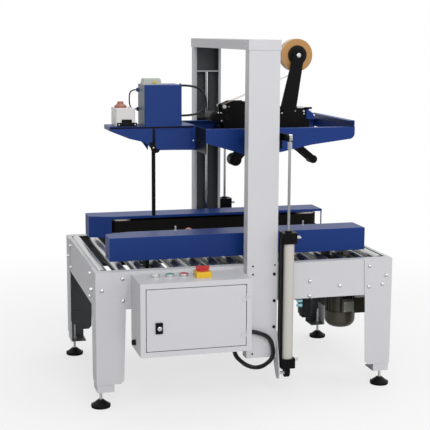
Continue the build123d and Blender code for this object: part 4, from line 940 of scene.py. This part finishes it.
nose = turned([(0, -50), (21, -50), (24, -48), (24, 48), (21, 50), (0, 50)], 40)
nose_arm = plate([(-58, 1182), (-52, 1176), (-20, 1174), (-6, 1182), (-6, 1200), (-20, 1206),
                  (-52, 1204), (-58, 1198)], -56, -51, 1.0)
nose_spots = [(-32, 1207, 4.0, nose_face), (-16, 1206, 4.0, unit_face),
              (-14, 1171, 4.5, unit_face), (19, 1234, 4.0, unit_face)]
unit_spots = [
    (x, z, radius, plate_face) for x, z, radius in
    ((335, 1212, 5), (379, 1210, 5), (380, 1198, 4), (412, 1209, 4), (273, 1202, 4))
]
roller_end = turned([(0, -2), (8, -2), (8, 5), (6.5, 6.5), (3, 7), (0, 7)], 28)
hub_place = (roll_middle.x / MM, -48, roll_middle.z / MM)
gusset = plate([(388, 1221), (417, 1204), (437, 1173), (389, 1174)], -49, -40)
for name, shape, material in (
    ("nose_roller", stamped(nose, [((-46, 0, 1190), back)]), "black_plastic"),
    ("nose_arms", joined(nose_arm, flipped(nose_arm)), "black_paint"),
    ("nose_screws", head_screws(button_screw, 3, nose_spots), "screw_steel"),
    ("unit_screws", head_screws(socket_screw, 3, unit_spots), "screw_steel"),
    ("unit_block", rounded_block((345, -48, 1224), (373, -40, 1233), 1.0), "white_plastic"),
    ("roller_ends", stamped(roller_end, on_both_sides([(-3, 1235)], nose_face)), "white_plastic"),
    ("roll_hub_nut", stamped(hexagon_screw(8, 7), [(hub_place, front)]), "screw_steel"),
    ("unit_gussets", joined(gusset, flipped(gusset)), "blue_paint"),
    ("unit_bar", rounded_block((380, -52, 1219), (415, -40, 1228), 1.0), "black_paint"),
):
    fitting(name, shape, material, "head")

web_half = (roll_high.y - roll_low.y) / 2 / MM
roll_radius = (roll_high.z - roll_low.z) / 2 / MM
web_start = np.array([-1.0, 1241.0])
to_roll = np.array([roll_middle.x / MM, roll_middle.z / MM]) - web_start
reach_to_roll = math.hypot(*to_roll)
web_angle = math.atan2(to_roll[1], to_roll[0]) - math.asin(roll_radius / reach_to_roll)
web_length = math.sqrt(reach_to_roll**2 - roll_radius**2)
along_web = web_length * np.array([math.cos(web_angle), math.sin(web_angle)])
half_film = 0.25 * np.array([-math.sin(web_angle), math.cos(web_angle)])
web_outline = [web_start - half_film, web_start + along_web - half_film,
               web_start + along_web + half_film, web_start + half_film]
fitting("tape_web", plate(web_outline, -web_half, web_half, 0.1), "clear_film", "head")
print("web", round(web_length), "mm long at", round(math.degrees(web_angle), 1), "degrees")

# %% [markdown]
# Compressed air comes to the cylinders and the valve through push-in fittings: a
# six-sided root, a round plastic body, and a release ring round the opening. The
# hoses between them are out of sight or left out, as the photograph shows none.

# %% Air fittings
air_profile = [(0, 0.3), (0.8, 0.3), (0.8, 0.72), (0.6, 0.76), (0.9, 0.8), (0.9, 1), (0.4, 1),
               (0.35, 0.7), (0, 0.7)]
cap_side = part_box("cylinder_caps")[1].x / MM
cylinder_fitting = screwed_in(7, 20, 6, air_profile)
for name, z in (("upper", 711), ("lower", 176)):
    pair = stamped(cylinder_fitting, [((cap_side, y, z), right) for y in (-500, 500)])
    fitting(f"{name}_cylinder_fittings", pair, "white_plastic")
valve_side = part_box("air_valve")[0].x / MM
valve_places = [((valve_side, -430, z), left) for z in (415, 395)]
valve_fittings = stamped(screwed_in(8, 22, 6, air_profile), valve_places)
fitting("valve_fittings", valve_fittings, "teal_plastic")
print("cap side at", round(cap_side))

# %% [markdown]
# Each motor has a grey-green lid on its terminal box with a screw at each corner.
# The lid is a block with round edges that stands a little proud of the box.

# %% Motor details
lid = rounded_block((477, -345, 327), (526, -339, 375), 2.0)
lid_spots = [((x, -345, z), front) for x in (482, 521) for z in (332, 370)]
lid_screws = stamped(socket_screw(2.4, 1.6), lid_spots)
for side, lid_here, screws_here in (
    ("front", lid, lid_screws), ("back", flipped(lid), flipped(lid_screws)),
):
    fitting(f"terminal_lid_{side}", lid_here, "cover_green", f"side_drive_{side}")
    fitting(f"terminal_screws_{side}", screws_here, "screw_steel", f"side_drive_{side}")
print("motor lids fitted")

# %% [markdown]
# Bright pins stand on the housings of the side drives, where the tensioner of the
# belt is locked, and white stop pins sit on their outer faces. Feet have ribbed
# rims that a hand can turn.

# %% Drive pins and feet
pin = turned([(0, -1), (7, -1), (7, 2), (4, 2.5), (4, 20), (3, 21), (0, 21)], 20)
for side, name in ((1, "front"), (-1, "back")):
    pins = stamped(pin, [((x, -225 * side, 710), up) for x in (318, -270)])
    fitting(f"housing_pins_{name}", pins, "screw_steel", f"side_drive_{name}")
    stop_pin = stamped(button_screw(5, 7), [((265, -340 * side, 677), (0, -side, 0))])
    fitting(f"housing_stop_{name}", stop_pin, "white_plastic", f"side_drive_{name}")


def ring_of(shape, count):
    """The shape turned about Z in equal steps a: (x cos a - y sin a, x sin a + y cos a, z)."""
    vertices, faces = shape
    angle = np.linspace(0, 2 * math.pi, count, endpoint=False)[:, None]
    x = vertices[:, 0] * np.cos(angle) - vertices[:, 1] * np.sin(angle)
    y = vertices[:, 0] * np.sin(angle) + vertices[:, 1] * np.cos(angle)
    points = np.stack([x, y, np.broadcast_to(vertices[:, 2], x.shape)], axis=-1)
    steps = np.arange(count)[:, None, None] * len(vertices)
    return points.reshape(-1, 3), (faces[None] + steps).reshape(-1, faces.shape[1])


foot_x, foot_y = 635, 398
pad_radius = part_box("foot_pads")[1].x / MM - foot_x
ribs = ring_of(rounded_block((pad_radius - 1.5, -2.2, 3), (pad_radius + 1.2, 2.2, 13), 0.8, 2), 24)
feet = [moved(ribs, x, y, 0) for x in (-foot_x, foot_x) for y in (-foot_y, foot_y)]
fitting("foot_ribs", joined(*feet), "black_plastic")
print("foot radius", round(pad_radius))

# %% [markdown]
# The machine stands on a plain pale floor in soft studio light: a broad lamp in
# front, a weaker one from the right, one from above and an even sky. The camera
# and mirror-like surfaces see a white backdrop, so the light itself can stay
# modest and the colours come out as they are written. From 0.9 m to 3 m away from
# the middle, the camera sees the floor fade into that white.

# %% Floor and light
tree, shader = new_material("pale_floor")
shader.inputs["Base Color"].default_value = (0.86, 0.86, 0.86, 1.0)
shader.inputs["Roughness"].default_value = 0.85
ray, where = add_node(tree, "LightPath"), add_node(tree, "TexCoord")
distance, seen = maths(tree, "LENGTH", "VectorMath"), maths(tree, "MULTIPLY")
fade = add_node(tree, "MapRange", From_Min=0.9, From_Max=3.0, To_Min=0.68, To_Max=1.0)
white, mix = add_node(tree, "Emission", Strength=1.0), add_node(tree, "MixShader")
connect(tree, (where, "Object", distance, 0), (distance, "Value", fade, "Value"),
        (ray, "Is Camera Ray", seen, 0), (fade, "Result", seen, 1), (seen, "Value", mix, "Fac"),
        (shader, "BSDF", mix, 1), (white, "Emission", mix, 2),
        (mix, "Shader", tree.nodes["Material Output"], "Surface"))
reach = 7.0
floor_mesh = bpy.data.meshes.new("floor")
floor_mesh.from_pydata(
    [(-reach, -reach, 0), (reach, -reach, 0), (reach, reach, 0), (-reach, reach, 0)],
    [], [(0, 1, 2, 3)])
floor_mesh.materials.append(bpy.data.materials["pale_floor"])
floor = linked("floor", floor_mesh)

world = bpy.data.worlds.new("studio")
bpy.context.scene.world = world
world.use_nodes = True
tree = world.node_tree
sky, ray = tree.nodes["Background"], add_node(tree, "LightPath")
sky.inputs["Color"].default_value = (1.0, 1.0, 1.0, 1.0)
seen_or_shiny, seen = maths(tree, "MAXIMUM"), maths(tree, "MAXIMUM")
strength = add_node(tree, "MapRange", To_Min=0.36, To_Max=1.0)
connect(tree, (ray, "Is Camera Ray", seen_or_shiny, 0),
        (ray, "Is Glossy Ray", seen_or_shiny, 1), (seen_or_shiny, "Value", seen, 0),
        (ray, "Is Transmission Ray", seen, 1),
        (seen, "Value", strength, "Value"), (strength, "Result", sky, "Strength"))


def soft_lamp(name, spot, aim, size, power):
    """A square area lamp at a spot, turned towards what it lights."""
    lamp_data = bpy.data.lights.new(name, "AREA")
    lamp_data.size = size
    lamp_data.energy = power
    stand(linked(name, lamp_data), basis_for(np.subtract(spot, aim)), spot)


machine_middle = (0.0, 0.0, 0.8)
soft_lamp("key_light", (-0.4, -4.5, 3.2), machine_middle, 2.6, 112)
soft_lamp("fill_light", (3.6, -2.4, 2.2), machine_middle, 2.6, 36)
soft_lamp("top_light", (0.4, 0.8, 4.4), machine_middle, 2.8, 50)
bpy.context.scene.view_settings.view_transform = "Standard"
